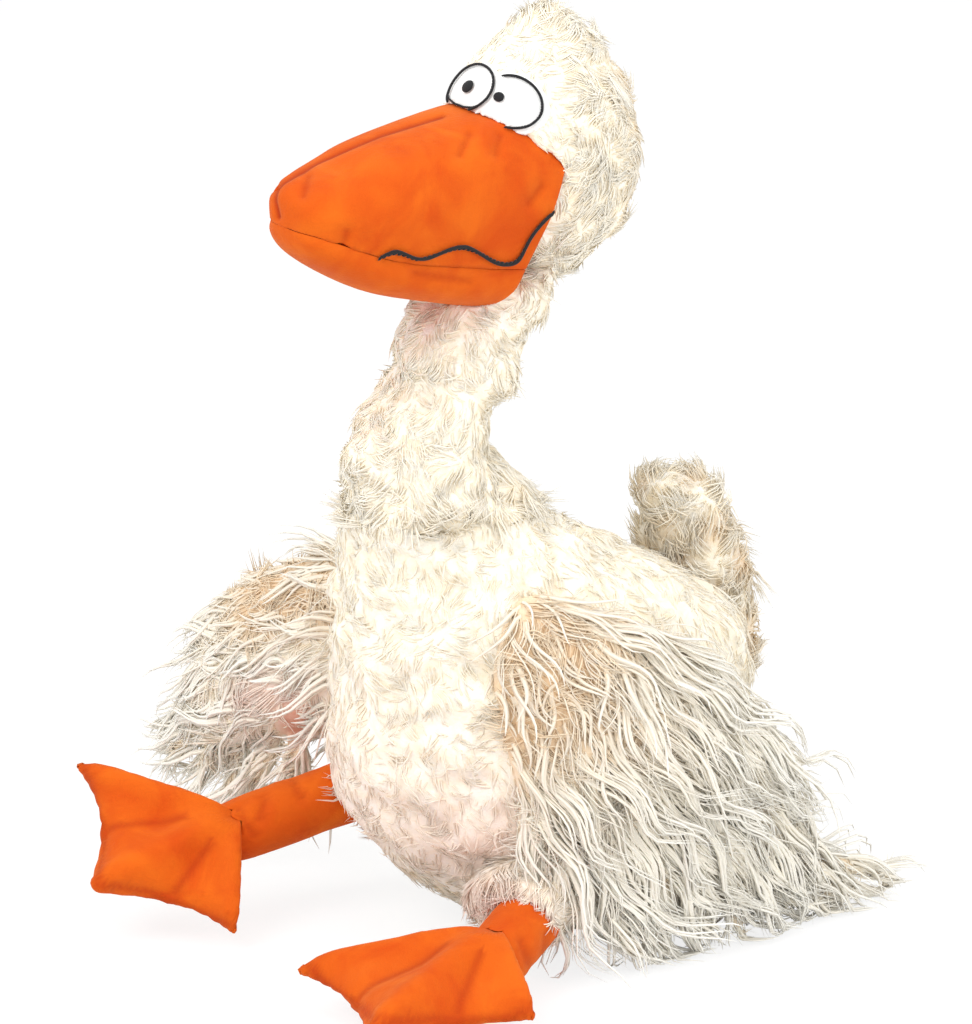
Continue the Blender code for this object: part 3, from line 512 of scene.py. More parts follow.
def furTree():
    sockets = [
        ("Density", "Float", 100000.0), ("Seed", "Int", 1), ("Points", "Int", 4),
        ("Length", "Float", 0.011), ("Length Jitter", "Float", 0.3), ("Radius", "Float", 0.0006),
        ("Lift", "Float", 0.5), ("Curl", "Float", 0.2), ("Droop", "Float", 0.0),
        ("Swirl", "Float", 1.0), ("Swirl Size", "Float", 0.03),
        ("Clump Size", "Float", 0.007), ("Clump Pull", "Float", 0.5),
        ("Gather", "Float", 1.3),
        ("Lump Size", "Float", 0.016), ("Lump Depth", "Float", 0.0), ("Rosette", "Float", 0.0),
        ("Wave", "Float", 0.0), ("Wave Length", "Float", 0.03),
        ("Clearance", "Float", 0.001), ("Material", "Material", None),
    ]
    tree = newTree("growFur", sockets)
    user = addNode(tree, "NodeGroupInput").outputs
    skin = user["Geometry"]

    # roots
    pile = attribute(tree, "pile")
    scatter = addNode(tree, "GeometryNodeDistributePointsOnFaces", {
        "Mesh": skin, "Density": times(tree, user["Density"], pile), "Seed": user["Seed"]})
    place = addNode(tree, "GeometryNodeInputPosition").outputs[0]
    grown = keep(tree, scatter.outputs["Points"], "root", place, "FLOAT_VECTOR")
    grown = keep(tree, grown, "outward", scatter.outputs["Normal"], "FLOAT_VECTOR")
    chance = addNode(tree, "FunctionNodeRandomValue", {"Seed": user["Seed"]}, data_type="FLOAT")
    grown = keep(tree, grown, "tuft", chance.outputs[1])

    # one straight line a root, bent afterwards
    line = addNode(tree, "GeometryNodeCurvePrimitiveLine")
    steps = addNode(tree, "GeometryNodeResampleCurve", {
        "Curve": line.outputs["Curve"], "Count": user["Points"]})
    strands = addNode(tree, "GeometryNodeInstanceOnPoints", {
        "Points": grown, "Instance": steps.outputs["Curve"]})
    grown = addNode(tree, "GeometryNodeRealizeInstances", {
        "Geometry": strands.outputs["Instances"]}).outputs["Geometry"]
    factor = addNode(tree, "GeometryNodeSplineParameter").outputs["Factor"]
    grown = keep(tree, grown, "along", factor)

    root = attribute(tree, "root", "FLOAT_VECTOR")
    outward = attribute(tree, "outward", "FLOAT_VECTOR")
    flow = attribute(tree, "flow", "FLOAT_VECTOR")
    along = attribute(tree, "along")
    tuft = attribute(tree, "tuft")

    # the clump that a root belongs to, and what all its strands share
    cells = addNode(tree, "ShaderNodeTexVoronoi", {
        "Vector": root, "Scale": number(tree, "DIVIDE", 1.0, user["Clump Size"])},
        voronoi_dimensions="3D", feature="F1")
    centre = cells.outputs["Position"]
    shared = addNode(tree, "ShaderNodeTexWhiteNoise", {"Vector": cells.outputs["Color"]},
                     noise_dimensions="3D")
    field = addNode(tree, "ShaderNodeTexNoise", {
        "Vector": centre, "Scale": number(tree, "DIVIDE", 1.0, user["Swirl Size"]),
        "Detail": 1.0})
    swirl = vector(tree, "SUBTRACT", field.outputs["Color"], (0.5, 0.5, 0.5))
    swirl = scaled(tree, swirl, times(tree, user["Swirl"], 4.0))
    own = vector(tree, "SUBTRACT", shared.outputs["Color"], (0.5, 0.5, 0.5))
    own = scaled(tree, own, times(tree, user["Swirl"], 0.7))
    aim = vector(tree, "ADD", vector(tree, "ADD", flow, swirl), own)

    # rounded lumps with creases between them, whose pile turns away from their middles
    lumpScale = number(tree, "DIVIDE", 1.0, user["Lump Size"])
    lumps = addNode(tree, "ShaderNodeTexVoronoi", {"Vector": root, "Scale": lumpScale},
                    voronoi_dimensions="3D", feature="F1")
    borders = addNode(tree, "ShaderNodeTexVoronoi", {"Vector": root, "Scale": lumpScale},
                      voronoi_dimensions="3D", feature="DISTANCE_TO_EDGE")
    away = scaled(tree, vector(tree, "SUBTRACT", root, lumps.outputs["Position"]),
                  times(tree, user["Rosette"], lumpScale))
    aim = vector(tree, "ADD", aim, away)
    crown = addNode(tree, "ShaderNodeMapRange", {
        "Value": borders.outputs["Distance"], "From Min": 0.0, "From Max": 0.30})
    shorter = times(tree, user["Lump Depth"], minus(tree, 1.0, crown.outputs["Result"]))
    depth = vector(tree, "DOT_PRODUCT", aim, outward)
    aim = vector(tree, "SUBTRACT", aim, scaled(tree, outward, depth))
    aim = vector(tree, "NORMALIZE", aim)
    side = vector(tree, "CROSS_PRODUCT", outward, aim)

    chosen = minus(tree, shared.outputs["Value"], 0.5)
    jitter = plus(tree, times(tree, minus(tree, tuft, 0.5), user["Length Jitter"]),
                  times(tree, chosen, user["Length Jitter"]))
    length = times(tree, user["Length"], plus(tree, jitter, 1.0))
    length = times(tree, length, times(tree, pile, attribute(tree, "reach")))
    length = times(tree, length, minus(tree, 1.0, shorter))

    # forward along the surface, up and over, then sideways in a curl
    ahead = times(tree, length, along)
    up = times(tree, times(tree, length, user["Lift"]),
               number(tree, "SINE", times(tree, along, 2.4)))
    squared = number(tree, "POWER", along, 2.0)
    curl = times(tree, times(tree, length, user["Curl"]),
                 times(tree, times(tree, chosen, 2.0), squared))
    phase = times(tree, shared.outputs["Value"], 6.28)
    turns = number(tree, "DIVIDE", times(tree, ahead, 6.28), user["Wave Length"])
    wave = times(tree, times(tree, user["Wave"], along),
                 number(tree, "SINE", plus(tree, turns, phase)))
    slower = plus(tree, times(tree, turns, 0.8), times(tree, phase, 2.3))
    waveUp = times(tree, times(tree, user["Wave"], 0.6), number(tree, "SINE", slower))
    up = plus(tree, up, times(tree, waveUp, along))
    spot = vector(tree, "ADD", root, scaled(tree, aim, ahead))
    spot = vector(tree, "ADD", spot, scaled(tree, outward, up))
    spot = vector(tree, "ADD", spot, scaled(tree, side, plus(tree, curl, wave)))
    spread = vector(tree, "SUBTRACT", root, centre)
    inward = vector(tree, "DOT_PRODUCT", spread, outward)
    spread = vector(tree, "SUBTRACT", spread, scaled(tree, outward, inward))
    gather = times(tree, user["Clump Pull"], number(tree, "POWER", along, user["Gather"]))
    spot = vector(tree, "SUBTRACT", spot, scaled(tree, spread, gather))
    fall = times(tree, times(tree, length, user["Droop"]), squared)
    fallen = addNode(tree, "ShaderNodeCombineXYZ", {"Z": times(tree, fall, -1.0)})
    spot = vector(tree, "ADD", spot, fallen.outputs[0])

    # what would sink into the skin lies on it
    closest = addNode(tree, "GeometryNodeProximity", {"Geometry": skin, "Sample Position": spot},
                      target_element="FACES")
    facing = addNode(tree, "GeometryNodeSampleNearestSurface", {
        "Mesh": skin, "Value": addNode(tree, "GeometryNodeInputNormal").outputs["Normal"],
        "Sample Position": spot}, data_type="FLOAT_VECTOR")
    above = vector(tree, "DOT_PRODUCT", vector(
        tree, "SUBTRACT", spot, closest.outputs["Position"]), facing.outputs["Value"])
    wanted = times(tree, user["Clearance"], number(tree, "POWER", along, 0.5))
    push = number(tree, "MAXIMUM", minus(tree, wanted, above), 0.0)
    push = number(tree, "MINIMUM", push, furthestPush)
    spot = vector(tree, "ADD", spot, scaled(tree, facing.outputs["Value"], push))
    split = addNode(tree, "ShaderNodeSeparateXYZ", {"Vector": spot})
    low = number(tree, "MAXIMUM", split.outputs["Z"], lowestHair)
    spot = addNode(tree, "ShaderNodeCombineXYZ", {
        "X": split.outputs["X"], "Y": split.outputs["Y"], "Z": low}).outputs[0]
    grown = addNode(tree, "GeometryNodeSetPosition", {
        "Geometry": grown, "Position": spot}).outputs["Geometry"]

    # thickness, from root to a fine tip
    taper = number(tree, "POWER", minus(tree, 1.0, along), 0.6)
    taper = plus(tree, times(tree, taper, 0.94), 0.06)
    stout = times(tree, user["Radius"], plus(tree, 0.7, times(tree, tuft, 0.6)))
    ring = addNode(tree, "GeometryNodeCurvePrimitiveCircle", {"Resolution": 3, "Radius": 1.0})
    solid = addNode(tree, "GeometryNodeCurveToMesh", {
        "Curve": grown, "Profile Curve": ring.outputs["Curve"],
        "Scale": times(tree, stout, taper), "Fill Caps": True})
    finishTree(tree, solid.outputs["Mesh"], user["Material"])
    return tree


growFur = furTree()


def mapStrands(piece, steps):
    # each strand's own cell of the map, so that no two strands share a place in it
    mesh = piece.data
    corners = np.zeros(len(mesh.loops), np.int32)
    mesh.loops.foreach_get("vertex_index", corners)
    perStrand = steps * 3
    strand = corners // perStrand
    ring = (corners % perStrand) // 3
    side = (corners % 3).astype(float)
    starts = np.zeros(len(mesh.polygons), np.int32)
    sizes = np.zeros(len(mesh.polygons), np.int32)
    mesh.polygons.foreach_get("loop_start", starts)
    mesh.polygons.foreach_get("loop_total", sizes)
    for size in (3, 4):
        rows = starts[sizes == size][:, None] + np.arange(size)[None, :]
        faceSides = side[rows]
        wraps = (faceSides.max(1) == 2) & (faceSides.min(1) == 0)
        if size == 4:
            faceSides[wraps] = np.where(faceSides[wraps] == 0, 3, faceSides[wraps])
        side[rows] = faceSides
    cells = int(math.ceil(math.sqrt(max(1, len(mesh.vertices) // perStrand))))
    margin, inner = 0.08, 0.84
    across = (strand % cells + margin + inner * side / 3) / cells
    tall = (strand // cells + margin + inner * ring / (steps - 1)) / cells
    layer = mesh.uv_layers.new(name="OFBake")
    layer.data.foreach_set("uv", np.stack([across, tall], 1).astype(np.float32).ravel())


def grow(skin, name, material, slotName, values, wanted):
    # strands to a wanted number of triangles
    area = sum(polygon.area for polygon in skin.data.polygons)
    steps = values["Points"]
    trianglesEach = (steps - 1) * 6 + 2
    pile = np.zeros(len(skin.data.vertices), np.float32)
    skin.data.attributes["pile"].data.foreach_get("value", pile)
    density = wanted / trianglesEach / (area * max(float(pile.mean()), 0.05))
    fur = runTree(skin, growFur, {**values, "Density": density, "Material": material}, name)
    smooth(fur)
    mapStrands(fur, steps)
    dress(fur, slotName)
    print(name, "strands", len(fur.data.vertices) // (steps * 3), "triangles", wanted)


# flow fields: which way the pile of each piece was brushed

def brush(piece, flow, pile, tone, reach=None, shadeWithLegReflection=None):
    # what the fur and the cloth of a piece read on its points
    paint(piece, "flow", flow)
    paint(piece, "pile", pile)
    paint(piece, "tone", tone)
    paint(piece, "reach", np.ones(len(tone)) if reach is None else reach)
    paint(piece, "shadeWithLegReflection", np.zeros(len(tone)) if shadeWithLegReflection is None else shadeWithLegReflection)


def downhill(places, share):
    return np.tile([0.0, 0.0, -share], (len(places), 1))


# body, neck, head, tail and thighs: curly fleece

bodyFur = {"Points": 3, "Length": 0.0078, "Length Jitter": 0.5, "Radius": 0.00044, "Lift": 0.09,
           "Curl": 0.9, "Droop": 0.0, "Swirl": 1.3, "Swirl Size": 0.020, "Clump Size": 0.0080,
           "Clump Pull": 0.50, "Lump Size": 0.016, "Lump Depth": 0.3, "Rosette": 1.0,
           "Clearance": 0.0006, "Seed": 3}


def growFleece(skin, node, user):
    # fleece on a brushed skin, then the skin under it
    skin.data.materials.append(fleeceBacking)
    grow(skin, node + "_fleece", fleeceHair, "cream_fleece", {**bodyFur, **user["fur"]},
         user["triangles"])
    dress(skin, "cream_fleece", node, fill=user["fill"])


body = {
    "lumps": (0.015, 0.0110), "downward": 0.7, "warmth": 0.75,
    "warmSpots": [((0.055, -0.065, 0.045), 0.045, 1), ((-0.05, -0.07, 0.055), 0.04, 1),
                  ((0.0, -0.095, 0.07), 0.05, 0.5)],
    "fur": {}, "triangles": 160000, "fill": 0.85,
}


def makeBody():
    skin = skinOf("body", 1)
    plump(skin, *body["lumps"])
    places = points(skin)
    # painted orange reflection of the legs and hems, in pink
    warm = sum(near(places, *warmSpot) for warmSpot in body["warmSpots"])
    tone = -np.clip(warm, 0, 1) * body["warmth"]
    brush(skin, downhill(places, body["downward"]), np.ones(len(places)), tone)
    growFleece(skin, "body", body)


neck = {
    "lumps": (0.015, 0.0110), "downward": 0.9, "warmSpot": ((0.0, -0.05, 0.285), 0.03, 0.5),
    "baseHeight": 0.022, "baseFade": 0.018, "baseLonger": 0.7,
    "fur": {"Seed": 5}, "triangles": 85000, "fill": 0.7,
}


def makeNeck():
    skin = skinOf("neck", 1)
    plump(skin, *neck["lumps"])
    places = points(skin)
    # longer pile at the base, over the seam with the body
    base = places[:, 2].min() + neck["baseHeight"] - places[:, 2]
    base = np.clip(base / neck["baseFade"], 0, 1)
    # painted orange reflection, in pink, at the front of the neck near its top
    brush(skin, downhill(places, neck["downward"]), 1.0 + neck["baseLonger"] * base,
          -near(places, *neck["warmSpot"]))
    growFleece(skin, "neck", neck)


head = {
    "lumps": (0.015, 0.0034), "fall": 0.35, "rearTan": 0.45,
    "crest": [(553, 38, 17, 1), (599, 60, 17, 1)], "crestDepth": 0.034, "crestFade": 0.012,
    "crestFlow": (0.1, 0.2, 1.6), "crestLonger": 0.45,
    "eyeReach": 0.032, "frontShorter": 0.45, "eyeShorter": 0.5,
    "fur": {"Seed": 7, "Length": 0.0085}, "triangles": 105000, "fill": 0.85,
}


def makeHead():
    skin = skinOf("head", 1)
    plump(skin, *head["lumps"])
    places = points(skin)
    low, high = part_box("head")
    middle = (low + high) / 2
    crest = patch(places, head["crest"])
    rise = places[:, 2] - (high.z - head["crestDepth"])
    crest = crest * np.clip(rise / head["crestFade"], 0, 1)
    back = unit(places - np.array([middle.x, middle.y - 0.06, middle.z]))
    flow = back * np.array([0.6, 0.6, 0.2]) + np.array([0, 0, -head["fall"]])
    flow += crest[:, None] * np.array(head["crestFlow"])
    eyeLow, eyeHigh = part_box("eye_patch")
    eyes = near(places, (eyeLow + eyeHigh) / 2, head["eyeReach"])
    front = np.clip((middle.y - 0.012 - places[:, 1]) / 0.02, 0, 1)
    pile = np.clip(1.0 - head["frontShorter"] * front - head["eyeShorter"] * eyes, 0.3, 1.0)
    pile = pile + head["crestLonger"] * crest
    tone = head["rearTan"] * np.clip((places[:, 1] - middle.y - 0.012) / 0.03, 0, 1)
    brush(skin, flow, pile, tone)
    growFleece(skin, "head", head)


tail = {
    "lumps": (0.011, 0.0070), "tan": 0.42, "patchiness": 0.5, "darkest": 0.8,
    "fur": {"Seed": 11, "Swirl": 1.6, "Curl": 1.1, "Clump Size": 0.010, "Clump Pull": 0.7,
            "Length": 0.0105, "Lift": 0.24},
    "triangles": 42000, "fill": 0.7,
}


def makeTail():
    skin = skinOf("tail", 1)
    plump(skin, *tail["lumps"])
    places = points(skin)
    low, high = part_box("tail")
    rise = (places[:, 2] - low.z) / (high.z - low.z)
    outwards = normals(skin) * np.array([1, 1, 0.2])
    flow = outwards * 0.4 + np.array([0, 0.1, 0.7])
    # tan, strongest at the bottom and fading upward, with scattered patches: partly the tail's own
    # tan, partly painted warm shade low on the tail
    patches = (np.sin(places[:, 0] * 210) * np.sin(places[:, 1] * 170 + 1)
               * np.sin(places[:, 2] * 190))
    tone = tail["tan"] - tail["tan"] * rise + tail["patchiness"] * patches
    brush(skin, flow, np.ones(len(places)), np.clip(tone, 0, tail["darkest"]))
    growFleece(skin, "tail", tail)


thighs = {
    "left": {"fur": {"Seed": 13, "Swirl": 0.6}, "triangles": 40000},
    "right": {"fur": {"Seed": 17, "Swirl": 0.6}, "triangles": 9000},
    "fall": 0.35, "fill": 0.8, "hem": 0.02, "hemLonger": 0.2, "warmth": 0.15, "hemWarmth": 0.55,
}


def makeThigh(side):
    node = "thigh_" + side
    skin = skinOf(node, 1)
    places = points(skin)
    low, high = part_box("leg_" + side)
    ahead = np.array([(low.x + high.x) / 2, low.y, 0.02]) - places.mean(0)
    flow = np.tile(ahead / np.linalg.norm(ahead), (len(places), 1))
    flow = flow + np.array([0, 0, -thighs["fall"]])
    # a hem where the leg comes out; a painted orange reflection of the leg, in pink, strong at the
    # hem and faint over the whole thigh
    hem = (places[:, 1].min() + thighs["hem"] - places[:, 1]) / thighs["hem"]
    hem = np.clip(hem, 0, 1)
    brush(skin, flow, 1.0 + thighs["hemLonger"] * hem,
          -thighs["warmth"] - thighs["hemWarmth"] * hem)
    growFleece(skin, node, {**thighs[side], "fill": thighs["fill"]})


makeBody()
makeNeck()
makeHead()
makeTail()
makeThigh("left")
makeThigh("right")
print("fleece grown")


# wings: a fleece pad under long wavy locks

wingLocks = {"Points": 10, "Length": 0.050, "Length Jitter": 0.6, "Radius": 0.00115, "Lift": 0.07,
             "Curl": 0.22, "Droop": 0.04, "Swirl": 0.50, "Swirl Size": 0.028, "Clump Size": 0.0125,
             "Clump Pull": 0.86, "Gather": 0.5, "Wave": 0.0052, "Wave Length": 0.041,
             "Clearance": 0.002, "Seed": 21}
wingWisps = {**wingLocks, "Points": 8, "Length": 0.044, "Radius": 0.00045, "Clump Pull": 0.55,
             "Gather": 1.0, "Wave": 0.0045, "Clump Size": 0.009, "Seed": 37}


def growWing(skin, node, user, flow, pile, tone, lockPile, lockTone, shadeWithLegReflection=None):
    # short pile, then locks and fine wisps from a second copy of the skin
    reach = roomFor(points(skin), flow, user["reach"])
    brush(skin, flow, pile, tone, reach, shadeWithLegReflection)
    skin.data.materials.append(fleeceBacking)
    grow(skin, node + "_pile", fleeceHair, "long_cream_hair", *user["pile"])
    roots = skinOf(node, 1, node + "_lock_roots")
    brush(roots, flow, lockPile, lockTone, reach)
    grow(roots, node + "_locks", wingHair, "long_cream_hair", *user["locks"])
    grow(roots, node + "_wisps", wingHair, "long_cream_hair", *user["wisps"])
    bpy.data.objects.remove(roots)
    dress(skin, "long_cream_hair", node, fill=user["fill"])


# the hair's own values are each followed by a number of triangles
leftWing = {
    "tan": [(550, 640, 70, 1), (520, 720, 55, 1), (610, 700, 60, 0.5)],
    "orangeReflection": [(560, 850, 55, 1)], "reach": 0.050, "fill": 0.6,
    "pile": ({**bodyFur, "Seed": 23, "Swirl": 1.5, "Length": 0.013, "Curl": 1.2}, 60000),
    "locks": (wingLocks, 70000), "wisps": (wingWisps, 70000),
}


def makeLeftWing():
    skin = skinOf("wing_left", 1)
    places = points(skin)
    low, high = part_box("wing_left")
    run = np.clip((places[:, 1] - low.y) / (high.y - low.y), 0, 1)
    flow = unit(np.stack([0.10 + 0 * run, 0.30 + 0.70 * run, -1.0 + 0.45 * run], 1))
    outer = np.clip(normals(skin)[:, 0] * 1.5 + 0.3, 0, 1)
    pile = np.clip(0.25 + 0.75 * outer, 0.05, 1)
    # the pink spots are a painted orange reflection of the leg on the wing's lower front
    tan, orangeReflection = patch(places, leftWing["tan"]), patch(places, leftWing["orangeReflection"])
    # the pile and backing under the cream locks are tan all over: partly the wing's own tan at the
    # spots, and all over a painted warm shade between the locks
    tone = np.clip(0.45 + 0.5 * tan - 1.0 * orangeReflection * (1 - tan), -0.6, 1)
    growWing(skin, "wing_left", leftWing, flow, pile, tone, pile * (1 - 0.75 * tan), 0.5 * tan)


rightWing = {
    "tan": [(300, 590, 45, 1), (250, 610, 45, 1), (335, 620, 30, 0.6)],
    "orangeReflection": [(300, 690, 45, 1), (240, 700, 40, 1)], "shadeWithLegReflection": [(292, 728, 34, 1)],
    "reach": 0.036, "fill": 0.6,
    "pile": ({**bodyFur, "Seed": 29, "Swirl": 1.1, "Length": 0.013, "Clump Size": 0.008}, 60000),
    "locks": ({**wingLocks, "Seed": 31, "Length": 0.034, "Wave": 0.0035, "Points": 7}, 35000),
    "wisps": ({**wingWisps, "Seed": 41, "Length": 0.032, "Wave": 0.0030, "Points": 7}, 25000),
}


def makeRightWing():
    skin = skinOf("wing_right", 1)
    places = points(skin)
    low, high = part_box("wing_right")
    rise = np.clip((places[:, 2] - low.z) / (high.z - low.z), 0, 1)
    flow = unit(np.stack([-0.9 + 0 * rise, 0 * rise - 0.05, -0.35 - 0.5 * (1 - rise)], 1))
    # the pink spots are a painted orange reflection of the leg low on the wing
    tan, orangeReflection = patch(places, rightWing["tan"]), patch(places, rightWing["orangeReflection"])
    # painted shade with the leg's orange reflected in it, low on the right wing; the hair is left
    # out there so that it shows
    shadeWithLegReflection = np.clip(patch(places, rightWing["shadeWithLegReflection"]) * 1.6 - 0.4, 0, 1)
    tone = np.clip(0.35 + 0.55 * tan - 1.2 * orangeReflection * (1 - tan), -0.9, 1)
    lockPile = np.clip(1.0 - 1.0 * shadeWithLegReflection - 0.8 * orangeReflection - 0.6 * tan, 0.03, 1)
    growWing(skin, "wing_right", rightWing, flow, np.clip(1.0 - 0.95 * shadeWithLegReflection, 0.03, 1), tone,
             lockPile, 0.4 * tan, shadeWithLegReflection)


makeLeftWing()
makeRightWing()
print("wings dressed")


# beak and legs: orange velour

# a line's painted shade and its width, the groove it sinks and the low ridge beside it, in pixels
seamForm = {"dark": 1.0, "width": 2.2, "groove": 3.0, "depth": 1.1, "ridgeAt": 9, "ridge": 6}
foldForm = {"dark": 0.45, "width": 3.5, "groove": 5.0, "depth": 1.0, "ridgeAt": 13, "ridge": 8}

# paths over the photograph, in its pixels
velourPieces = {
    "beak_upper": {
        "levels": 3,
        "seams": [[(288, 206), (330, 178), (385, 152), (444, 131)],
                  [(288, 206), (287, 220), (290, 234)]],
        "folds": [[(470, 150), (462, 172)], [(500, 152), (496, 170)], [(540, 200), (528, 216)],
                  [(318, 196), (314, 214)], [(352, 262), (356, 250)]]},
    "beak_lower": {"levels": 2, "folds": [[(420, 286), (470, 292)]]},
    "leg_left": {"levels": 2, "folds": [[(520, 925), (528, 950)], [(545, 922), (540, 960)]]},
    "leg_right": {"levels": 2, "folds": [[(236, 812), (252, 838)], [(290, 785), (300, 800)],
                                         [(262, 800), (258, 822)]]},
}


def makeVelour(node, levels, folds, seams=()):
    # a stuffed velour piece with its seams and folds on the side that the camera sees, and painted
    # shade along them
    skin = skinOf(node, levels, rims=40)
    places, facing = points(skin), normals(skin)
    seen = facing @ toCamera > 0.05
    flat = photoPlace(places)
    crease, sink = np.zeros(len(places)), np.zeros(len(places))
    for paths, form in ((seams, seamForm), (folds, foldForm)):
        for path in paths:
            gap = lineGap(flat, path)
            # painted shade along each seam and fold
            crease = np.maximum(crease, form["dark"] * bell(gap, form["width"]) * seen)
            sink += (bell(gap, form["groove"]) * form["depth"]
                     - bell(gap - form["ridgeAt"], form["ridge"]) * 0.4) * seen
    setPoints(skin, places - facing * (sink * 0.9 * mm)[:, None])
    paint(skin, "crease", np.clip(crease, 0, 1))
    skin.data.materials.append(orangeVelour)
    dress(skin, "orange_velour", node, fill=0.85)


for velourNode, user in velourPieces.items():
    makeVelour(velourNode, **user)
print("beak and legs made")


# feet: three stuffed toes, slack webs between them and a piped seam along the front

# ankles and toe tips in mm
feet = {
    "left": {"ankle": (74, -88, 19), "toes": ((24, -151, 14), (92, -167, 9), (117, -102, 9))},
    "right": {"ankle": (-74, -109, 38),
              "toes": ((-124, -152, 65), (-83, -175, 24), (-41, -130, 6))},
}
# swells and sinks in mm, widths and the web's slack in m
footForm = {
    "toeSwell": 3.2, "toeWidth": 0.0075, "webSink": 2.4, "webWidth": 0.006,
    "creaseWidth": 0.0020, "slack": 0.0055, "slackWidth": 0.012,
    "hemInset": 0.10, "hemSink": 0.8, "hemWidth": 0.0020, "hemLine": 0.0013, "lowest": 0.0008,
}


def makeFoot(side):
    skin = skinOf("foot_" + side, 2)
    plan, form = feet[side], footForm
    ankle = np.array(plan["ankle"]) * mm
    toes = [np.array(toe) * mm for toe in plan["toes"]]
    places, facing = points(skin), normals(skin)
    upward = np.cross(toes[1] - ankle, toes[2] - toes[0])
    upward = upward / np.linalg.norm(upward) * (1 if upward[2] > 0 else -1)
    offset = places - ankle
    flat = offset - (offset @ upward)[:, None] * upward

    def gapTo(start, end):
        # distance to a line in the foot's plane, and how far along it
        run = end - start
        run = run - (run @ upward) * upward
        begin = start - ankle
        begin = begin - (begin @ upward) * upward
        share = np.clip(((flat - begin) @ run) / (run @ run), 0, 1)
        return np.linalg.norm(flat - begin - share[:, None] * run, axis=1), share

    swell, crease = np.zeros(len(places)), np.zeros(len(places))
    pull = np.zeros(places.shape)
    for toe in toes:
        gap, share = gapTo(ankle, toe)
        swell += form["toeSwell"] * bell(gap, form["toeWidth"]) * np.clip(share * 3, 0, 1)
    for first, second in zip(toes, toes[1:]):
        web = (first + second) / 2
        gap, share = gapTo(ankle + (web - ankle) * 0.25, web)
        swell -= form["webSink"] * bell(gap, form["webWidth"]) * np.clip(share * 4, 0, 1)
        within = (share > 0.02) * (share < 0.9)
        # painted shade along the web's crease
        crease = np.maximum(crease, 0.60 * bell(gap, form["creaseWidth"]) * within)
        front, share = gapTo(first, second)
        inwards = (ankle - web) / np.linalg.norm(ankle - web)
        slack = 16.0 * (share * (1 - share)) ** 2 * bell(front, form["slackWidth"])
        pull += inwards * (form["slack"] * slack)[:, None]
        border, share = gapTo(first + (ankle - first) * form["hemInset"],
                              second + (ankle - second) * form["hemInset"])
        swell -= form["hemSink"] * bell(border, form["hemWidth"])
        # painted shade along the piped seam
        crease = np.maximum(crease, 0.7 * bell(border, form["hemLine"]))
    top = np.clip(facing @ upward * 1.6 - 0.3, 0, 1) - np.clip(-facing @ upward - 0.3, 0, 0.4)
    moved = places + facing * (swell * top * mm)[:, None] + pull
    moved[:, 2] = np.maximum(moved[:, 2], form["lowest"])
    setPoints(skin, moved)
    paint(skin, "crease", np.clip(crease, 0, 1))
    skin.data.materials.append(orangeVelour)
    dress(skin, "orange_velour", "foot_" + side, fill=0.85)


makeFoot("left")
makeFoot("right")
print("feet made")


# eyes and embroidery

def stitchTree():
    # short thick stitches laid slantwise along a line of thread
    sockets = [("Stitch Length", "Float", 0.002), ("Thickness", "Float", 0.0005),
               ("Slant", "Float", 0.5), ("Spacing", "Float", 0.0008),
               ("Material", "Material", None)]
    tree = newTree("sewThread", sockets)
    user = addNode(tree, "NodeGroupInput").outputs
    line = addNode(tree, "GeometryNodeMeshToCurve", {"Mesh": user["Geometry"]})
    spaced = addNode(tree, "GeometryNodeCurveToPoints", {
        "Curve": line.outputs["Curve"], "Length": user["Spacing"]}, mode="LENGTH")
    facing = attribute(tree, "facing", "FLOAT_VECTOR")
    turned = addNode(tree, "FunctionNodeAlignRotationToVector", {
        "Vector": spaced.outputs["Tangent"]}, axis="Z", pivot_axis="AUTO")
    turned = addNode(tree, "FunctionNodeAlignRotationToVector", {
        "Rotation": turned.outputs[0], "Vector": facing}, axis="X", pivot_axis="Z")
    tilt = addNode(tree, "ShaderNodeCombineXYZ", {"X": user["Slant"]})
    tilted = addNode(tree, "FunctionNodeRotateRotation", {
        "Rotation": turned.outputs[0], "Rotate By": tilt.outputs[0]}, rotation_space="LOCAL")
    bead = addNode(tree, "GeometryNodeMeshIcoSphere", {"Radius": 1.0, "Subdivisions": 1})
    size = addNode(tree, "ShaderNodeCombineXYZ", {
        "X": user["Thickness"], "Y": user["Thickness"],
        "Z": times(tree, user["Stitch Length"], 0.5)})
    sewn = addNode(tree, "GeometryNodeInstanceOnPoints", {
        "Points": spaced.outputs["Points"], "Instance": bead.outputs["Mesh"],
        "Rotation": tilted.outputs[0], "Scale": size.outputs[0]})
    finishTree(tree, sewn.outputs["Instances"], user["Material"])
    return tree


loopCells = 44  # steps around an eye outline
linePace = 1.6 * mm


def threadLine(places, looped):
    # the middle of a sewn line, in order, from the points of its solid
    centre = places.mean(0)
    axes = np.linalg.svd(places - centre, full_matrices=False)[2]
    first, second = (places - centre) @ axes[0], (places - centre) @ axes[1]
    where = np.arctan2(second, first) if looped else first / linePace
    cells = np.floor(where * (loopCells / (2 * math.pi)) if looped else where).astype(int)
    cells -= cells.min()
    middles = [places[cells == cell].mean(0) if (cells == cell).sum() > 2 else None
               for cell in range(cells.max() + 1)]
    empty = [middle is None for middle in middles]
    if looped and any(empty):
        gap = empty.index(True)
        middles = middles[gap:] + middles[:gap]
        looped = False
    middles = np.array([middle for middle in middles if middle is not None])
    for smoothing in range(2):
        middles[1:-1] = (middles[:-2] + 2 * middles[1:-1] + middles[2:]) / 4
    edges = [(i, i + 1) for i in range(len(middles) - 1)]
    if looped:
        edges.append((len(middles) - 1, 0))
    return middles, edges


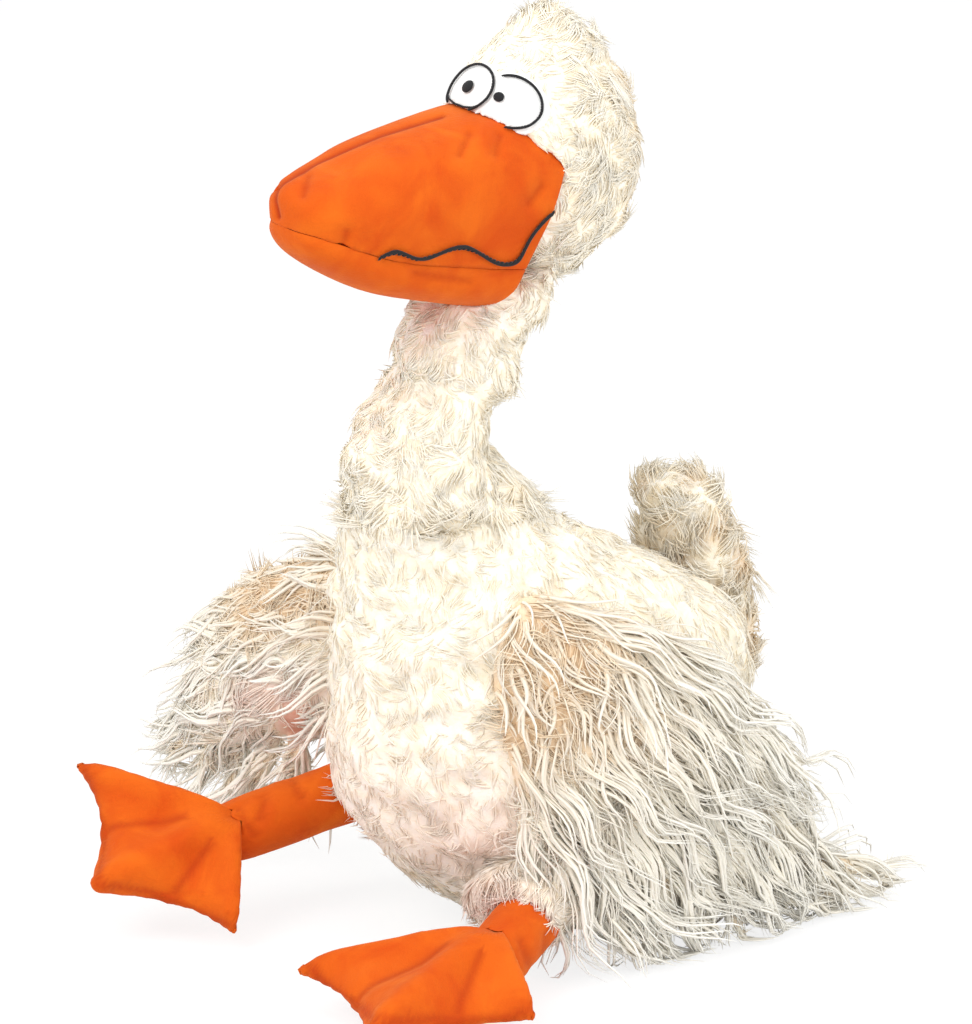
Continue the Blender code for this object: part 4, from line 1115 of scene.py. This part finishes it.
def sewAlong(node, cloth, looped, values):
    # stitches along a thread line, turned to face as the cloth under it does
    middles, edges = threadLine(points(cadNodes[node]), looped)
    mesh = bpy.data.meshes.new(node + "_line")
    mesh.from_pydata([tuple(m) for m in middles], edges, [])
    line = newObject(node + "_line", mesh)
    solid = cadNodes[cloth].data
    surface = BVHTree.FromPolygons([v.co for v in solid.vertices],
                                   [tuple(f.vertices) for f in solid.polygons])
    facing = [surface.find_nearest(Vector(m))[1] for m in middles]
    paint(line, "facing", np.array([tuple(f) for f in facing]))
    sewn = runTree(line, sewThread, {**values, "Material": blackThread}, node + "_stitches")
    bpy.data.objects.remove(line)
    smooth(sewn)
    dress(sewn, "black_thread")


sewThread = stitchTree()
eyeStitches = {"Stitch Length": 0.0022, "Thickness": 0.00045, "Slant": 0.30, "Spacing": 0.0012}
mouthStitches = {"Stitch Length": 0.0034, "Thickness": 0.00060, "Slant": 0.45, "Spacing": 0.0021}
sewAlong("eye_outline_left", "eye_patch", True, eyeStitches)
sewAlong("eye_outline_right", "eye_patch", True, eyeStitches)
sewAlong("mouth_line_left", "beak_upper", False, mouthStitches)
sewAlong("mouth_line_right", "beak_upper", False, mouthStitches)
print("stitches sewn")

eyeSkin = skinOf("eye_patch", 1)
eyeSkin.data.materials.append(whiteVelour)
dress(eyeSkin, "white_velour", "eye_patch")
for threadNode in ("eye_outline_left", "eye_outline_right", "pupil_left", "pupil_right",
                   "mouth_line_left", "mouth_line_right"):
    threadSkin = skinOf(threadNode, 1)
    threadSkin.data.materials.append(blackThread)
    dress(threadSkin, "black_thread", threadNode)
print("face made")


# floor, light and camera

floorDisc = {"reach": 9.0, "corners": 48, "paper": 0.86, "glow": 1.1, "glowShare": 0.74}
lamps = {
    "keyLamp": {"azimuth": 5, "elevation": 42, "distance": 1.7, "size": 0.9, "power": 12.0},
    "fillLamp": {"azimuth": 100, "elevation": 25, "distance": 1.9, "size": 1.3, "power": 11.0},
    "topLamp": {"azimuth": 50, "elevation": 82, "distance": 1.8, "size": 1.2, "power": 6.0},
}
roomLight = 0.80


def makeFloor():
    # a wide pale floor that the camera sees as white, with the goose's own soft shadow
    mesh = bpy.data.meshes.new("studio_floor")
    reach, corners = floorDisc["reach"], floorDisc["corners"]
    turns = [math.tau * i / corners for i in range(corners)]
    rim = [(reach * math.cos(turn), reach * math.sin(turn), 0.0) for turn in turns]
    mesh.from_pydata(rim, [], [tuple(range(corners))])
    floor = newObject("studio_floor", mesh)
    material = bpy.data.materials.new("paleFloor")
    material.use_nodes = True
    tree = material.node_tree
    tree.nodes.clear()
    grey = floorDisc["paper"]
    paper = addNode(tree, "ShaderNodeBsdfDiffuse", {"Color": (grey, grey, grey, 1)})
    glow = addNode(tree, "ShaderNodeEmission", {
        "Color": (1, 1, 1, 1), "Strength": floorDisc["glow"]})
    shown = addNode(tree, "ShaderNodeMixShader", {
        0: floorDisc["glowShare"], 1: paper.outputs[0], 2: glow.outputs[0]})
    ray = addNode(tree, "ShaderNodeLightPath").outputs["Is Camera Ray"]
    both = addNode(tree, "ShaderNodeMixShader", {0: ray, 1: paper.outputs[0], 2: shown.outputs[0]})
    addNode(tree, "ShaderNodeOutputMaterial", {"Surface": both.outputs[0]})
    mesh.materials.append(material)


def makeLamp(name, azimuth, elevation, distance, size, power):
    back = Vector(towards(azimuth, elevation))
    lamp = bpy.data.lights.new(name, "AREA")
    lamp.shape = "DISK"
    lamp.size = size
    lamp.energy = power
    stand = newObject(name, lamp)
    stand.location = Vector(studio["target"]) + back * distance
    stand.rotation_mode = "QUATERNION"
    stand.rotation_quaternion = (-back).to_track_quat("-Z", "Y")


def makeStudio():
    makeFloor()
    for name, user in lamps.items():
        makeLamp(name, **user)
    world = bpy.data.worlds.new("softRoom")
    world.use_nodes = True
    tree = world.node_tree
    room = tree.nodes["Background"]
    room.inputs["Color"].default_value = (1.0, 1.0, 1.0, 1.0)
    room.inputs["Strength"].default_value = roomLight
    white = addNode(tree, "ShaderNodeBackground", {"Color": (1, 1, 1, 1), "Strength": 1.0})
    seen = addNode(tree, "ShaderNodeLightPath").outputs["Is Camera Ray"]
    both = addNode(tree, "ShaderNodeMixShader", {
        0: seen, 1: room.outputs[0], 2: white.outputs[0]})
    tree.links.new(both.outputs[0], tree.nodes["World Output"].inputs["Surface"])
    bpy.context.scene.world = world
    bpy.context.scene.view_settings.view_transform = "Standard"
    back = Vector(towards(studio["azimuth"], studio["elevation"]))
    turn = (-back).to_track_quat("-Z", "Y")
    right, up = turn @ Vector((1, 0, 0)), turn @ Vector((0, 1, 0))
    lens = bpy.data.cameras.new("photoCamera")
    lens.lens = studio["lens"]
    lens.sensor_width = 36.0
    lens.clip_start, lens.clip_end = 0.05, 20.0
    camera = newObject("photoCamera", lens)
    camera.location = (Vector(studio["target"]) + back * studio["distance"]
                       + right * studio["aside"] + up * studio["lifted"])
    camera.rotation_mode = "QUATERNION"
    camera.rotation_quaternion = turn
    bpy.context.scene.camera = camera


makeStudio()
print("studio set")
